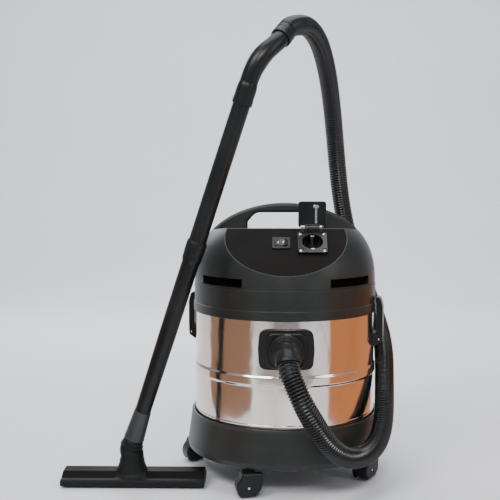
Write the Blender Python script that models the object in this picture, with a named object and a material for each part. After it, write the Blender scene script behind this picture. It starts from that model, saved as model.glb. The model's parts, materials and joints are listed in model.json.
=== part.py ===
"""Wet and dry shop vacuum: steel tank on a caster base, domed motor head, hose, wand and floor nozzle.

Units are metres, +Z is up and the floor is z = 0.  The front, with the hose inlet, faces -Y.
Every piece hangs from the empty vacuum_axis, the upright centre line of the tank.
"""
import math

import bmesh
import bpy
import numpy as np
from mathutils import Matrix, Vector

# ---------------------------------------------------------------- driving dimensions
GAP = 0.0003                     # between pieces that touch
FIT = 0.0004                     # radial clearance of a push, sliding or turning fit
AXIS_X = 0.1122                  # tank centre line, from the middle of the whole machine
AXIS_Y = 0.0110

TANK_RADIUS = 0.1715
TANK_WALL = 0.0008
TANK_HEIGHT = 0.2567
BEAD_LOW = 0.132                 # raised bead round the tank, above the tank's bottom
BEAD_WIDTH = 0.021
BEAD_RISE = 0.0022

BASE_BOTTOM = 0.048              # underside of the base above the floor
BASE_FLOOR = 0.004
BASE_HEIGHT = 0.074
BASE_WALL = 0.0065
BASE_FLARE = 0.0085
LEDGE_HEIGHT = 0.0165            # ring that carries the tank and the caster stems
LEDGE_WIDTH = 0.024

CASTER_COUNT = 4
CASTER_START = math.radians(-107)
CASTER_SETBACK = 0.0015          # stems stand this far inside the tank's radius
CASTER_TRAIL = 0.018
CASTER_REST = [math.radians(a) for a in (190, 233, 250, 206)]
WHEEL_RADIUS = 0.019
WHEEL_WIDTH = 0.020
HOOD_CHEEK = 0.0055
HOOD_COVER = 0.0035              # hood past the wheel's tread
STEM_RADIUS = 0.004
STEM_LENGTH = 0.0120
AXLE_RADIUS = 0.0025

RIM_WALL = 0.003                 # head rim outside the tank
RIM_DROP = 0.012                 # head rim below the deck
LIP_HEIGHT = 0.0175
BAND_HEIGHT = 0.042              # deck underside up to the head's seam
DECK_THICKNESS = 0.0035
DECK_PORT = 0.041
SEAL_HEIGHT = 0.005
SEAL_WIDTH = 0.0075

DOME_HEIGHT = 0.149              # full height of the dome curve above the seam
DOME_POWER = 2.5
DOME_WALL = 0.003
RIDGE_HEIGHT = 0.1047            # where the slanted panel meets the top, above the seam
RIDGE_SETBACK = 0.0958           # ridge behind the head's radius
PANEL_TILT = math.radians(40)
TOP_TILT = math.radians(6)
PANEL_THICKNESS = 0.002
PANEL_MARGIN = 0.003
PANEL_BACKING = 0.0052
SLOT_LOW = 0.003
SLOT_HEIGHT = 0.0155
SLOT_ANGLES = (math.radians(27), math.radians(62))

HANDLE_REACH = 0.136             # half the span of the carry handle
HANDLE_DEPTH = 0.028
HAND_GAP_WIDTH = 0.146
HAND_GAP_TOP = 0.110
HAND_GAP_HEIGHT = 0.133          # top of the hand gap above the seam

SWITCH_X = -0.0085
SWITCH_V = -0.0400
SWITCH_FRAME = (0.033, 0.029)
SWITCH_BORE = (0.0228, 0.0172)
SWITCH_RISE = 0.0022
SWITCH_DEPTH = 0.014
ROCKER_TILT = math.radians(6)

SOCKET_X = 0.048
SOCKET_V = -0.0400
SOCKET_SIZE = 0.054
SOCKET_RISE = 0.0045
WELL_RADIUS = 0.019
WELL_WALL = 0.0022
WELL_DEPTH = 0.017
LID_WIDTH = 0.051
LID_LENGTH = 0.048
LID_THICKNESS = 0.005
LID_OPEN = math.radians(130)
PIN_RADIUS = 0.0014
KNUCKLE_RADIUS = 0.0034
KNUCKLE_LENGTH = 0.028

GLAND_ANGLE = math.radians(112)
GLAND_HEIGHT = 0.031
GLAND_RADIUS = 0.0085
CORD_BORE = 0.0042

FAN_RADIUS = 0.0635
FAN_HEIGHT = 0.045
MOTOR_RADIUS = 0.048
MOTOR_HEIGHT = 0.054
HOUSING_WALL = 0.002
SHAFT_RADIUS = 0.004
BEARING_RADIUS = 0.011
BEARING_HEIGHT = 0.007
GASKET_HEIGHT = 0.003

CAGE_RADIUS = 0.039
CAGE_WALL = 0.003
CAGE_HEIGHT = 0.084
BALL_RADIUS = 0.020
SLEEVE_THICKNESS = 0.0065

INLET_HEIGHT = 0.2012            # inlet centre above the tank's bottom
INLET_PLATE = (0.100, 0.070)
INLET_BOSS = (0.072, 0.063)
INLET_BORE = 0.0209
PLATE_THICKNESS = 0.006
BOSS_RISE = 0.0150               # boss, collar and ring faces, in front of the tank
COLLAR_RISE = 0.0300
COLLAR_RADIUS = 0.0305
RING_RISE = 0.0380
RING_RADIUS = 0.0260
GASKET_THICKNESS = 0.002
CUFF_RADIUS = 0.0222
CUFF_BORE = 0.0165

LATCH_TURN = math.radians(-12)
LATCH_WIDTH = 0.028
LATCH_CHEEK = 0.004
LATCH_LOW = 0.190                # bottom of the latch lever above the tank's bottom
LATCH_PIN = 0.0018

HOSE_DIAMETER = 0.037
HOSE_POINTS = 32
HOSE_LEAD = 0.006                # straight stretch at each end of the hose
WAND_RADIUS = 0.0158
WAND_BORE = 0.0138
SOCKET_WALL = 0.0020
WAND_STANDOFF = (0.1362, 0.0715)  # wand's foot on the floor, outside the tank's radius in X, inside in Y
WAND_SLOPE = (0.3315, -0.10)     # sideways run for each metre of height
WAND_FOOT = 0.078
WAND_MIDDLE = 0.425
WAND_TOP = 0.722
OVERLAP = 0.030
CUFF_SHANK = 0.010               # from the hose's end to the handle's end, inside the cuff
HANDLE_KNEE = (0.0310, 0.0005, 0.0580)  # middle of the handle's bend, from the wand's top

NOZZLE_WIDTH = 0.265
NOZZLE_DEPTH = 0.068
NOZZLE_HEIGHT = 0.027
NOZZLE_LIFT = 0.004              # body above the floor, on its brushes
NECK_WALL = 0.0024               # round the wand's foot
MOUTH_WIDTH = 0.236
INSERT_HEIGHT = 0.004

LARGE = 36                       # sides of large, middle and small round pieces
MIDDLE = 20
SMALL = 12

# The free hose: its ends, and the points it passes on the way, from the tank's centre line.
INLET_REACH = (0.002, -0.0490, -0.0100)   # hose's first point, from the middle of the inlet ring's face
WAND_REACH = (0.0664, 0.0342, 0.0980)     # hose's last point, from the wand's top
HOSE_ROUTE = [
    (0.010, -0.2710, 0.2310), (0.025, -0.2775, 0.1980), (0.043, -0.2700, 0.1640),
    (0.066, -0.2530, 0.1260), (0.098, -0.2210, 0.0910), (0.134, -0.1790, 0.0780), (0.163, -0.1400, 0.0880),
    (0.179, -0.1030, 0.1140), (0.186, -0.0680, 0.1480), (0.190, -0.0330, 0.1860), (0.193, 0.0020, 0.2240),
    (0.190, 0.0420, 0.2640), (0.179, 0.0830, 0.3060), (0.164, 0.1190, 0.3540), (0.146, 0.1470, 0.4100),
    (0.130, 0.1610, 0.4680), (0.118, 0.1600, 0.5350), (0.109, 0.1450, 0.6040), (0.099, 0.1150, 0.6850),
    (0.087, 0.0720, 0.7530), (0.073, 0.0260, 0.8000), (0.056, -0.0220, 0.8290), (0.036, -0.0680, 0.8400),
    (0.016, -0.1090, 0.8350),
]
HOSE_START = Vector((0.12, -0.60, -0.79)).normalized()
HOSE_FINISH = Vector((-0.42, -0.66, -0.62)).normalized()

# ---------------------------------------------------------------- derived heights and places
TANK_BOTTOM = BASE_BOTTOM + LEDGE_HEIGHT + GAP
TANK_TOP = TANK_BOTTOM + TANK_HEIGHT
DECK_BOTTOM = TANK_TOP + SEAL_HEIGHT + 2 * GAP
DECK_TOP = DECK_BOTTOM + DECK_THICKNESS
SEAM = DECK_BOTTOM + BAND_HEIGHT
RIM_INNER = TANK_RADIUS + 0.0007
RIM_RADIUS = RIM_INNER + RIM_WALL
BAND_RADIUS = RIM_RADIUS - 0.0015
DOME_RADIUS = BAND_RADIUS - 0.0009
BASE_INNER = TANK_RADIUS + 0.001
STEM_CIRCLE = TANK_RADIUS - CASTER_SETBACK
RIDGE_Y = RIDGE_SETBACK - DOME_RADIUS
RIDGE_Z = SEAM + RIDGE_HEIGHT
INLET_Z = TANK_BOTTOM + INLET_HEIGHT
HOOD_TOP = BASE_BOTTOM - 0.0022
HINGE_V = SOCKET_V + SOCKET_SIZE / 2 + 0.0025
HINGE_N = SOCKET_RISE + 0.0035


# ---------------------------------------------------------------- modelling helpers
def material(name, colour, roughness, metallic=0.0):
    """A plain Principled finish."""
    finish = bpy.data.materials.new(name)
    finish.use_nodes = True
    shader = finish.node_tree.nodes["Principled BSDF"]
    shader.inputs["Base Color"].default_value = (*colour, 1.0)
    shader.inputs["Roughness"].default_value = roughness
    shader.inputs["Metallic"].default_value = metallic
    return finish


def empty(name, location, rotation=(0.0, 0.0, 0.0), parent=None):
    """A frame that pieces hang from."""
    frame = bpy.data.objects.new(name, None)
    frame.location = location
    frame.rotation_euler = rotation
    frame.parent = parent
    bpy.context.scene.collection.objects.link(frame)
    return frame


def place(name, bm, look, parent, location=(0.0, 0.0, 0.0), rotation=(0.0, 0.0, 0.0), smooth=35.0):
    """Turn a bmesh into a named object, with its faces out and its round faces smooth."""
    bmesh.ops.remove_doubles(bm, verts=bm.verts, dist=1e-7)
    bmesh.ops.recalc_face_normals(bm, faces=bm.faces)
    mesh = bpy.data.meshes.new(name)
    bm.to_mesh(mesh)
    bm.free()
    mesh.shade_smooth()
    mesh.set_sharp_from_angle(angle=math.radians(smooth))
    piece = bpy.data.objects.new(name, mesh)
    piece.location = location
    piece.rotation_euler = rotation
    piece.parent = parent
    if look is None:
        piece.hide_render = True
        piece.display_type = "WIRE"
    else:
        mesh.materials.append(look)
    bpy.context.scene.collection.objects.link(piece)
    return piece


def carve(target, cutter, operation="DIFFERENCE"):
    """Cut, join or intersect a piece with a guide solid."""
    step = target.modifiers.new(cutter.name, "BOOLEAN")
    step.operation = operation
    step.solver = "EXACT"
    step.object = cutter


def round_edges(piece, width, segments=2, angle=40.0):
    """Bevel the piece's sharp edges."""
    step = piece.modifiers.new("rounded", "BEVEL")
    step.width = width
    step.segments = segments
    step.limit_method = "ANGLE"
    step.angle_limit = math.radians(angle)


def ring(bm, radius, height, segments):
    """One level of a turned piece: a ring of points, or a single point on the axis."""
    if radius < 1e-9:
        return [bm.verts.new((0.0, 0.0, height))]
    turns = [2 * math.pi * i / segments for i in range(segments)]
    return [bm.verts.new((radius * math.cos(t), radius * math.sin(t), height)) for t in turns]


def bridge(bm, first, second):
    """Faces between two rings, either of which may be a single point."""
    count = max(len(first), len(second))
    for i in range(count):
        j = (i + 1) % count
        corners = [first[i % len(first)], first[j % len(first)], second[j % len(second)], second[i % len(second)]]
        corners = list(dict.fromkeys(corners))
        if len(corners) > 2:
            bm.faces.new(corners)


def turned(profile, segments):
    """Turn an outline of (radius, height) about Z; it closes on itself unless it ends on the axis."""
    bm = bmesh.new()
    rings = [ring(bm, radius, height, segments) for radius, height in profile]
    for first, second in zip(rings, rings[1:]):
        bridge(bm, first, second)
    if len(rings[0]) > 1:
        bridge(bm, rings[-1], rings[0])
    return bm


def disc(radius, low, high, segments, bore=0.0):
    """A plain cylinder or washer about Z."""
    if bore:
        return turned([(bore, low), (radius, low), (radius, high), (bore, high)], segments)
    return turned([(0.0, low), (radius, low), (radius, high), (0.0, high)], segments)


def prism(outline, low, high, axis="Z"):
    """Extrude a flat outline along an axis; the outline is (x, y), (x, z) or (y, z)."""
    spots = {"Z": lambda a, b, t: (a, b, t), "Y": lambda a, b, t: (a, t, b), "X": lambda a, b, t: (t, a, b)}
    bm = bmesh.new()
    ends = [[bm.verts.new(spots[axis](a, b, t)) for a, b in outline] for t in (low, high)]
    bm.faces.new(ends[0])
    bm.faces.new(ends[1])
    bridge(bm, ends[0], ends[1])
    return bm


def rectangle(width, height, centre=(0.0, 0.0), radius=0.0, steps=3):
    """A rectangle's outline, with round corners where a radius is given."""
    points = []
    for corner in range(4):
        side_x = 1 if corner in (0, 3) else -1
        side_y = 1 if corner in (0, 1) else -1
        middle = (centre[0] + side_x * (width / 2 - radius), centre[1] + side_y * (height / 2 - radius))
        if not radius:
            points.append(middle)
            continue
        for step in range(steps + 1):
            angle = math.pi / 2 * (corner + step / steps)
            points.append((middle[0] + radius * math.cos(angle), middle[1] + radius * math.sin(angle)))
    return points


def shifted(bm, matrix):
    """Move a bmesh before it is placed."""
    bmesh.ops.transform(bm, matrix=matrix, verts=bm.verts)
    return bm


def along(direction):
    """The rotation that turns +Z into a direction."""
    return Vector(direction).to_track_quat("Z", "Y").to_matrix().to_4x4()


def swept(path, outer, bore=None, segments=SMALL + 4):
    """A round bar or tube along a path, with its own outer and bore radius at each point."""
    points = [Vector(p) for p in path]
    spans = [(b - a).normalized() for a, b in zip(points, points[1:])]
    heads = [spans[0]] + [(a + b).normalized() for a, b in zip(spans, spans[1:])] + [spans[-1]]
    side = heads[0].orthogonal().normalized()
    bm = bmesh.new()
    skins = [[], []]
    for i, (point, head) in enumerate(zip(points, heads)):
        side = (side - head * side.dot(head)).normalized()
        lift = head.cross(side)
        for skin, radii in zip(skins, (outer, bore)):
            if radii is None:
                continue
            turns = [2 * math.pi * k / segments for k in range(segments)]
            skin.append([bm.verts.new(point + radii[i] * (side * math.cos(t) + lift * math.sin(t))) for t in turns])
    for skin in skins:
        for first, second in zip(skin, skin[1:]):
            bridge(bm, first, second)
    if bore is None:
        bm.faces.new(skins[0][0])
        bm.faces.new(skins[0][-1])
    else:
        bridge(bm, skins[0][0], skins[1][0])
        bridge(bm, skins[0][-1], skins[1][-1])
    return bm


def slice_off(bm, point, normal):
    """Remove what lies past a plane and close the cut."""
    geometry = bm.verts[:] + bm.edges[:] + bm.faces[:]
    bmesh.ops.bisect_plane(bm, geom=geometry, dist=1e-7, plane_co=point, plane_no=normal, clear_outer=True)
    rim = [edge for edge in bm.edges if edge.is_boundary]
    bmesh.ops.holes_fill(bm, edges=rim, sides=0)
    return bm


def smooth_route(route, count, start, finish):
    """Evenly spaced points on the cubic spline through the route, leaving and arriving along two directions."""
    spots = np.array([tuple(p) for p in route])
    steps = np.linalg.norm(np.diff(spots, axis=0), axis=1)
    places = np.concatenate([[0.0], np.cumsum(steps)])
    size = len(spots)
    system = np.zeros((size, size))
    wanted = np.zeros((size, 3))
    slopes = np.diff(spots, axis=0) / steps[:, None]
    system[0, :2] = 2 * steps[0], steps[0]
    wanted[0] = 6 * (slopes[0] - np.array(start))
    system[-1, -2:] = steps[-1], 2 * steps[-1]
    wanted[-1] = 6 * (np.array(finish) - slopes[-1])
    for i in range(1, size - 1):
        system[i, i - 1:i + 2] = steps[i - 1], 2 * (steps[i - 1] + steps[i]), steps[i]
        wanted[i] = 6 * (slopes[i] - slopes[i - 1])
    bends = np.linalg.solve(system, wanted)
    points = []
    for place_now in np.linspace(0.0, places[-1], count):
        i = min(int(np.searchsorted(places, place_now, side="right")) - 1, size - 2)
        before = (places[i + 1] - place_now) / steps[i]
        after = (place_now - places[i]) / steps[i]
        curve = (before ** 3 - before) * bends[i] + (after ** 3 - after) * bends[i + 1]
        points.append(Vector(before * spots[i] + after * spots[i + 1] + curve * steps[i] ** 2 / 6))
    return points


# ---------------------------------------------------------------- shapes shared by several pieces
def dome_radius(height):
    """Outer radius of the domed head at a height above its seam."""
    share = min(max(height / DOME_HEIGHT, 0.0), 1.0)
    return DOME_RADIUS * math.sqrt(1.0 - share ** DOME_POWER)


def dome_height(radius):
    """Height of the dome curve above the seam at a radius."""
    return DOME_HEIGHT * (1.0 - (radius / DOME_RADIUS) ** 2) ** (1.0 / DOME_POWER)


def panel_outline(inset, steps=9):
    """Outline of the slanted panel in its own plane: X across, Y up the slope from the ridge."""
    points = []
    ridge_radius = dome_radius(RIDGE_HEIGHT) - inset
    reach = math.acos((-RIDGE_Y + inset * math.cos(PANEL_TILT)) / ridge_radius)
    for step in range(-steps, steps + 1):
        angle = reach * step / steps
        radius = DOME_RADIUS
        for _ in range(40):
            y = -radius * math.cos(angle)
            radius = dome_radius(RIDGE_HEIGHT + (y - RIDGE_Y) * math.tan(PANEL_TILT)) - inset
        points.append((radius * math.sin(angle), (y - RIDGE_Y) / math.cos(PANEL_TILT)))
    return points


def wand_point(height):
    """Centre of the wand at a height above the floor."""
    foot_x = -(TANK_RADIUS + WAND_STANDOFF[0])
    foot_y = -(TANK_RADIUS - WAND_STANDOFF[1])
    return Vector((foot_x + WAND_SLOPE[0] * height, foot_y + WAND_SLOPE[1] * height, height))


def wand_tube(name, look, low, high, socket, parent):
    """A straight wand; its upper end may be a socket for the tube above."""
    start = wand_point(low)
    line = wand_point(high) - start
    profile = [(WAND_BORE, 0.0), (WAND_RADIUS, 0.0)]
    if socket:
        wide = WAND_RADIUS + FIT + SOCKET_WALL
        profile += [(WAND_RADIUS, line.length - OVERLAP - 0.008), (wide, line.length - OVERLAP - 0.004)]
        profile += [(wide, line.length), (WAND_RADIUS + FIT, line.length)]
        profile += [(WAND_RADIUS + FIT, line.length - OVERLAP), (WAND_BORE, line.length - OVERLAP)]
    else:
        profile += [(WAND_RADIUS, line.length), (WAND_BORE, line.length)]
    tube = shifted(turned(profile, SMALL + 4), along(line))
    return place(name, tube, look, parent, start)


# ---------------------------------------------------------------- base and casters
def base_tray(look, axis):
    """Flared skirt with a flat floor and a ring that carries the tank."""
    top = BASE_BOTTOM + BASE_HEIGHT
    outer = BASE_INNER + BASE_WALL
    ledge = BASE_BOTTOM + LEDGE_HEIGHT
    profile = [
        (0.0, BASE_BOTTOM), (outer - 0.003, BASE_BOTTOM), (outer + BASE_FLARE - 0.0025, BASE_BOTTOM + 0.004),
        (outer + BASE_FLARE, BASE_BOTTOM + 0.013), (outer + 0.0005, top - 0.002), (outer - 0.001, top),
        (BASE_INNER + 0.0015, top), (BASE_INNER, top - 0.003), (BASE_INNER, ledge),
        (BASE_INNER - LEDGE_WIDTH, ledge), (BASE_INNER - LEDGE_WIDTH - 0.004, BASE_BOTTOM + BASE_FLOOR),
        (0.0, BASE_BOTTOM + BASE_FLOOR),
    ]
    tray = place("base_tray", turned(profile, LARGE), look, axis)
    for number in range(CASTER_COUNT):
        hole = disc(STEM_RADIUS + FIT, BASE_BOTTOM - 0.01, HOOD_TOP + STEM_LENGTH + 0.001, SMALL)
        cutter = place(f"stem_hole_{number + 1}", hole, None, axis, stem_place(number))
        carve(tray, cutter)


def stem_place(number):
    """Where a caster's stem stands, on the floor."""
    angle = CASTER_START + 2 * math.pi * number / CASTER_COUNT
    return (STEM_CIRCLE * math.cos(angle), STEM_CIRCLE * math.sin(angle), 0.0)


def hood_outline():
    """Side view of the caster's hood: X trails behind the stem, Z is up."""
    hood = WHEEL_RADIUS + HOOD_COVER
    points = [(CASTER_TRAIL - hood - 0.0035, HOOD_TOP), (CASTER_TRAIL + 0.55 * hood, HOOD_TOP)]
    for degrees in (35, 5, -25, -50):
        angle = math.radians(degrees)
        points.append((CASTER_TRAIL + hood * math.cos(angle), WHEEL_RADIUS + hood * math.sin(angle)))
    points += [(CASTER_TRAIL - 0.55 * hood, 0.004), (CASTER_TRAIL - hood, WHEEL_RADIUS - 0.004)]
    return points


def wheel_pocket():
    """Side view of the space that the wheel turns in, open below."""
    radius = WHEEL_RADIUS + 0.0013
    arch = [math.radians(a) for a in range(0, 181, 30)]
    points = [(CASTER_TRAIL + radius * math.cos(a), WHEEL_RADIUS + radius * math.sin(a)) for a in arch]
    return points + [(CASTER_TRAIL - radius, -0.01), (CASTER_TRAIL + radius, -0.01)]


def casters(plastic, tread, steel, axis):
    """Four swivel casters: a hooded fork with its stem, a wheel and an axle each."""
    inner = WHEEL_WIDTH / 2 + 0.001
    outer = inner + HOOD_CHEEK
    half = WHEEL_WIDTH / 2
    wheel_profile = [
        (AXLE_RADIUS + FIT, -half), (WHEEL_RADIUS * 0.62, -half), (WHEEL_RADIUS * 0.68, -half + 0.002),
        (WHEEL_RADIUS * 0.90, -half + 0.001), (WHEEL_RADIUS, -half + 0.004), (WHEEL_RADIUS, half - 0.004),
        (WHEEL_RADIUS * 0.90, half - 0.001), (WHEEL_RADIUS * 0.68, half - 0.002), (WHEEL_RADIUS * 0.62, half),
        (AXLE_RADIUS + FIT, half),
    ]
    sideways = Matrix.Rotation(math.pi / 2, 4, "X")
    for number in range(CASTER_COUNT):
        name = f"caster_{number + 1}"
        swivel = empty(f"{name}_frame", stem_place(number), (0.0, 0.0, CASTER_REST[number]), axis)
        fork = place(f"{name}_fork", prism(hood_outline(), -outer, outer, "Y"), plastic, swivel)
        pocket = place(f"{name}_pocket", prism(wheel_pocket(), -inner, inner, "Y"), None, swivel)
        stem = place(f"{name}_stem", disc(STEM_RADIUS, HOOD_TOP - 0.003, HOOD_TOP + STEM_LENGTH, SMALL), None, swivel)
        spot = (CASTER_TRAIL, 0.0, WHEEL_RADIUS)
        hole = shifted(disc(AXLE_RADIUS + GAP, -outer * 2, outer * 2, SMALL), sideways)
        carve(fork, pocket)
        carve(fork, stem, "UNION")
        carve(fork, place(f"{name}_axle_hole", hole, None, swivel, spot))
        wheel = shifted(turned(wheel_profile, MIDDLE), sideways)
        place(f"{name}_wheel", wheel, tread, swivel, spot)
        axle = shifted(disc(AXLE_RADIUS, -outer + 0.001, outer - 0.001, SMALL), sideways)
        place(f"{name}_axle", axle, steel, swivel, spot)


# ---------------------------------------------------------------- tank and inlet
def tank(look, axis):
    """Drawn steel tank with a raised bead, an inward rolled rim and the inlet hole."""
    low, high, out = TANK_BOTTOM, TANK_TOP, TANK_RADIUS
    bead = low + BEAD_LOW
    profile = [
        (0.0, low), (out - 0.0022, low), (out, low + 0.0022),
        (out, bead), (out + BEAD_RISE, bead + 0.003), (out + BEAD_RISE, bead + BEAD_WIDTH - 0.003),
        (out, bead + BEAD_WIDTH), (out, high - 0.0025), (out - 0.002, high), (out - 0.0045, high),
        (out - 0.0055, high - 0.0025), (out - 0.0045, high - 0.005), (out - TANK_WALL, high - 0.0065),
        (out - TANK_WALL, low + 0.0026), (out - 0.0026, low + TANK_WALL), (0.0, low + TANK_WALL),
    ]
    shell = place("tank", turned(profile, LARGE), look, axis)
    hole = shifted(disc(INLET_BORE + 0.003, 0.0, out + 0.02, MIDDLE), Matrix.Rotation(math.pi / 2, 4, "X"))
    carve(shell, place("inlet_hole", hole, None, axis, (0.0, 0.0, INLET_Z)))


def inlet(plastic, rubber, axis):
    """Curved inlet plate with a boss and a collar, its gasket and the deflector elbow inside the tank."""
    forward = Matrix.Rotation(math.pi / 2, 4, "X")
    spot = (0.0, 0.0, INLET_Z)
    tall = INLET_PLATE[1]
    back = -(TANK_RADIUS - 0.03)
    skin = TANK_RADIUS + GAP + GASKET_THICKNESS + GAP

    def drum(name, radius):
        return place(name, disc(radius, INLET_Z - tall, INLET_Z + tall, LARGE * 2), None, axis)

    boss_face = TANK_RADIUS + BOSS_RISE
    outline = rectangle(*INLET_PLATE, radius=0.022)
    plate = place("inlet_flange", prism(outline, -boss_face - 0.001, back, "Y"), plastic, axis, spot)
    carve(plate, drum("plate_front", skin + PLATE_THICKNESS), "INTERSECT")
    outline = rectangle(*INLET_BOSS, radius=0.016)
    carve(plate, place("inlet_boss", prism(outline, -boss_face, back, "Y"), None, axis, spot), "UNION")
    collar = [
        (0.0, -back), (COLLAR_RADIUS, -back), (COLLAR_RADIUS, TANK_RADIUS + COLLAR_RISE - 0.002),
        (COLLAR_RADIUS - 0.002, TANK_RADIUS + COLLAR_RISE), (RING_RADIUS, TANK_RADIUS + COLLAR_RISE),
        (RING_RADIUS, TANK_RADIUS + RING_RISE - 0.0015), (RING_RADIUS - 0.0015, TANK_RADIUS + RING_RISE),
        (0.0, TANK_RADIUS + RING_RISE),
    ]
    carve(plate, place("inlet_collar", shifted(turned(collar, MIDDLE), forward), None, axis, spot), "UNION")
    carve(plate, drum("plate_back", skin))
    bore = shifted(disc(INLET_BORE, 0.0, TANK_RADIUS + RING_RISE + 0.01, MIDDLE), forward)
    carve(plate, place("inlet_bore", bore, None, axis, spot))

    washer = shifted(disc(0.0315, -back, TANK_RADIUS + 0.02, MIDDLE, bore=0.0250), forward)
    gasket = place("inlet_gasket", washer, rubber, axis, spot)
    carve(gasket, drum("gasket_front", TANK_RADIUS + GAP + GASKET_THICKNESS), "INTERSECT")
    carve(gasket, drum("gasket_back", TANK_RADIUS + GAP))

    start = TANK_RADIUS + COLLAR_RISE - 0.010
    drop = [(start, 0.0), (TANK_RADIUS - 0.008, 0.0), (TANK_RADIUS - 0.020, -0.002), (TANK_RADIUS - 0.031, -0.009),
            (TANK_RADIUS - 0.037, -0.020), (TANK_RADIUS - 0.038, -0.032)]
    path = [(0.0, -y, z) for y, z in drop]
    elbow = swept(path, [INLET_BORE - FIT] * len(path), [INLET_BORE - FIT - 0.002] * len(path))
    place("inlet_deflector", elbow, plastic, axis, spot)


# ---------------------------------------------------------------- latches
def latch_outline():
    """Side view of the latch lever: distance from the tank's axis, and height above the pin."""
    inner = RIM_RADIUS + 0.0032
    nose = RIM_RADIUS + 0.0008
    outer = RIM_RADIUS + 0.0145
    lip_top = DECK_BOTTOM - RIM_DROP + LIP_HEIGHT - latch_pin_height()
    return [
        (inner, -0.0025), (inner + 0.0025, -0.0050), (inner + 0.0048, -0.0058), (outer - 0.002, -0.0050),
        (outer, 0.006),
        (outer - 0.001, lip_top - 0.006), (outer - 0.0045, lip_top + 0.007), (nose + 0.005, lip_top + 0.0105),
        (nose, lip_top + 0.0085), (nose, lip_top + 0.0020), (inner, lip_top - 0.002),
    ]


def latch_pin_height():
    """Height of the latch pin above the floor."""
    return TANK_BOTTOM + LATCH_LOW + 0.0085


def latch_pin_radius():
    """Distance of the latch pin from the tank's axis."""
    return RIM_RADIUS + 0.0080


def latch_bracket_outline():
    """Side view of a bracket cheek: distance from the tank's axis, and height above the pin."""
    seat = TANK_RADIUS + GAP
    tip = latch_pin_radius() + 0.0045
    return [(seat - 0.004, -0.016), (seat + 0.004, -0.016), (tip - 0.002, -0.006), (tip, 0.0), (tip - 0.002, 0.005),
            (seat + 0.005, 0.014), (seat - 0.004, 0.018)]


def latch(side, turn, plastic, steel, axis):
    """One over-centre latch: a lever on a pin between the cheeks of a bracket on the tank."""
    frame = empty(f"latch_frame_{side}", (0.0, 0.0, latch_pin_height()), (0.0, 0.0, turn), axis)
    half = LATCH_WIDTH / 2
    wide = half + GAP + LATCH_CHEEK
    pin_place = (latch_pin_radius(), 0.0, 0.0)
    lying = Matrix.Rotation(math.pi / 2, 4, "X")

    outline = [(a - latch_pin_radius(), b) for a, b in latch_outline()]
    lever = place(f"latch_lever_{side}", prism(outline, -half, half, "Y"), plastic, frame, pin_place)
    round_edges(lever, 0.0012, 1)
    hole = shifted(disc(LATCH_PIN + GAP, -wide * 2, wide * 2, SMALL), lying)
    carve(lever, place(f"lever_hole_{side}", hole, None, frame, pin_place))

    bracket = place(f"latch_bracket_{side}", prism(latch_bracket_outline(), -wide, wide, "Y"), plastic, frame)
    clear = prism(rectangle(0.03, 0.06, (RIM_RADIUS + 0.0165, 0.0)), -half - GAP, half + GAP, "Y")
    carve(bracket, place(f"bracket_slot_{side}", clear, None, frame))
    drum = place(f"bracket_seat_{side}", disc(TANK_RADIUS + GAP, -0.05, 0.05, LARGE * 2), None, frame)
    carve(bracket, drum)
    hole = shifted(disc(LATCH_PIN + GAP, -wide * 2, wide * 2, SMALL), lying)
    carve(bracket, place(f"bracket_hole_{side}", hole, None, frame, pin_place))

    pin = shifted(disc(LATCH_PIN, -wide + 0.0005, wide - 0.0005, SMALL), lying)
    place(f"latch_pin_{side}", pin, steel, frame, pin_place)


# ---------------------------------------------------------------- head shells
def head_shells(plastic, rubber, axis):
    """Motor deck with its rim, the seal under it and the domed cover."""
    low = DECK_BOTTOM - RIM_DROP
    profile = [
        (RIM_INNER, low), (RIM_RADIUS, low), (RIM_RADIUS, low + LIP_HEIGHT - 0.001),
        (BAND_RADIUS, low + LIP_HEIGHT), (BAND_RADIUS, SEAM), (BAND_RADIUS - RIM_WALL, SEAM),
        (BAND_RADIUS - RIM_WALL, DECK_TOP), (DECK_PORT, DECK_TOP), (DECK_PORT, DECK_BOTTOM), (RIM_INNER, DECK_BOTTOM),
    ]
    place("motor_deck", turned(profile, LARGE), plastic, axis)

    seal = disc(TANK_RADIUS - 0.001, TANK_TOP + GAP, TANK_TOP + GAP + SEAL_HEIGHT, LARGE,
                bore=TANK_RADIUS - 0.001 - SEAL_WIDTH)
    place("head_seal", seal, rubber, axis)

    levels = [0.86 * DOME_HEIGHT * math.sin(math.pi / 2 * step / 8) for step in range(9)]
    outer = [(dome_radius(z), SEAM + GAP + z) for z in levels]
    outer[0] = (DOME_RADIUS, SEAM + GAP)
    inner = [(radius - DOME_WALL, height) for radius, height in outer]
    inner[0] = (inner[0][0], SEAM - 0.005)
    top = SEAM + 0.86 * DOME_HEIGHT
    front_normal = Vector((0.0, -math.sin(PANEL_TILT), math.cos(PANEL_TILT)))
    top_normal = Vector((0.0, math.sin(TOP_TILT), math.cos(TOP_TILT)))
    ridge = Vector((0.0, RIDGE_Y, RIDGE_Z))

    skin = turned([(0.0, SEAM + GAP)] + outer + [(0.0, top)], LARGE)
    slice_off(skin, ridge, front_normal)
    slice_off(skin, ridge, top_normal)
    cover = place("head_cover", skin, plastic, axis)
    core = turned([(0.0, SEAM - 0.005)] + inner + [(0.0, top)], LARGE)
    slice_off(core, ridge - front_normal * PANEL_BACKING, front_normal)
    slice_off(core, ridge - top_normal * DOME_WALL, top_normal)
    carve(cover, place("head_hollow", core, None, axis))

    for side in (-1, 1):
        angles = [SLOT_ANGLES[0] + (SLOT_ANGLES[1] - SLOT_ANGLES[0]) * step / 5 for step in range(6)]
        outline = [(side * r * math.sin(a), -r * math.cos(a))
                   for r, turn in ((DOME_RADIUS + 0.01, angles), (DOME_RADIUS - 0.02, angles[::-1])) for a in turn]
        slot = prism(outline, SEAM + SLOT_LOW, SEAM + SLOT_LOW + SLOT_HEIGHT)
        carve(cover, place(f"vent_slot_{'left' if side < 0 else 'right'}", slot, None, axis))
    return cover


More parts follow.
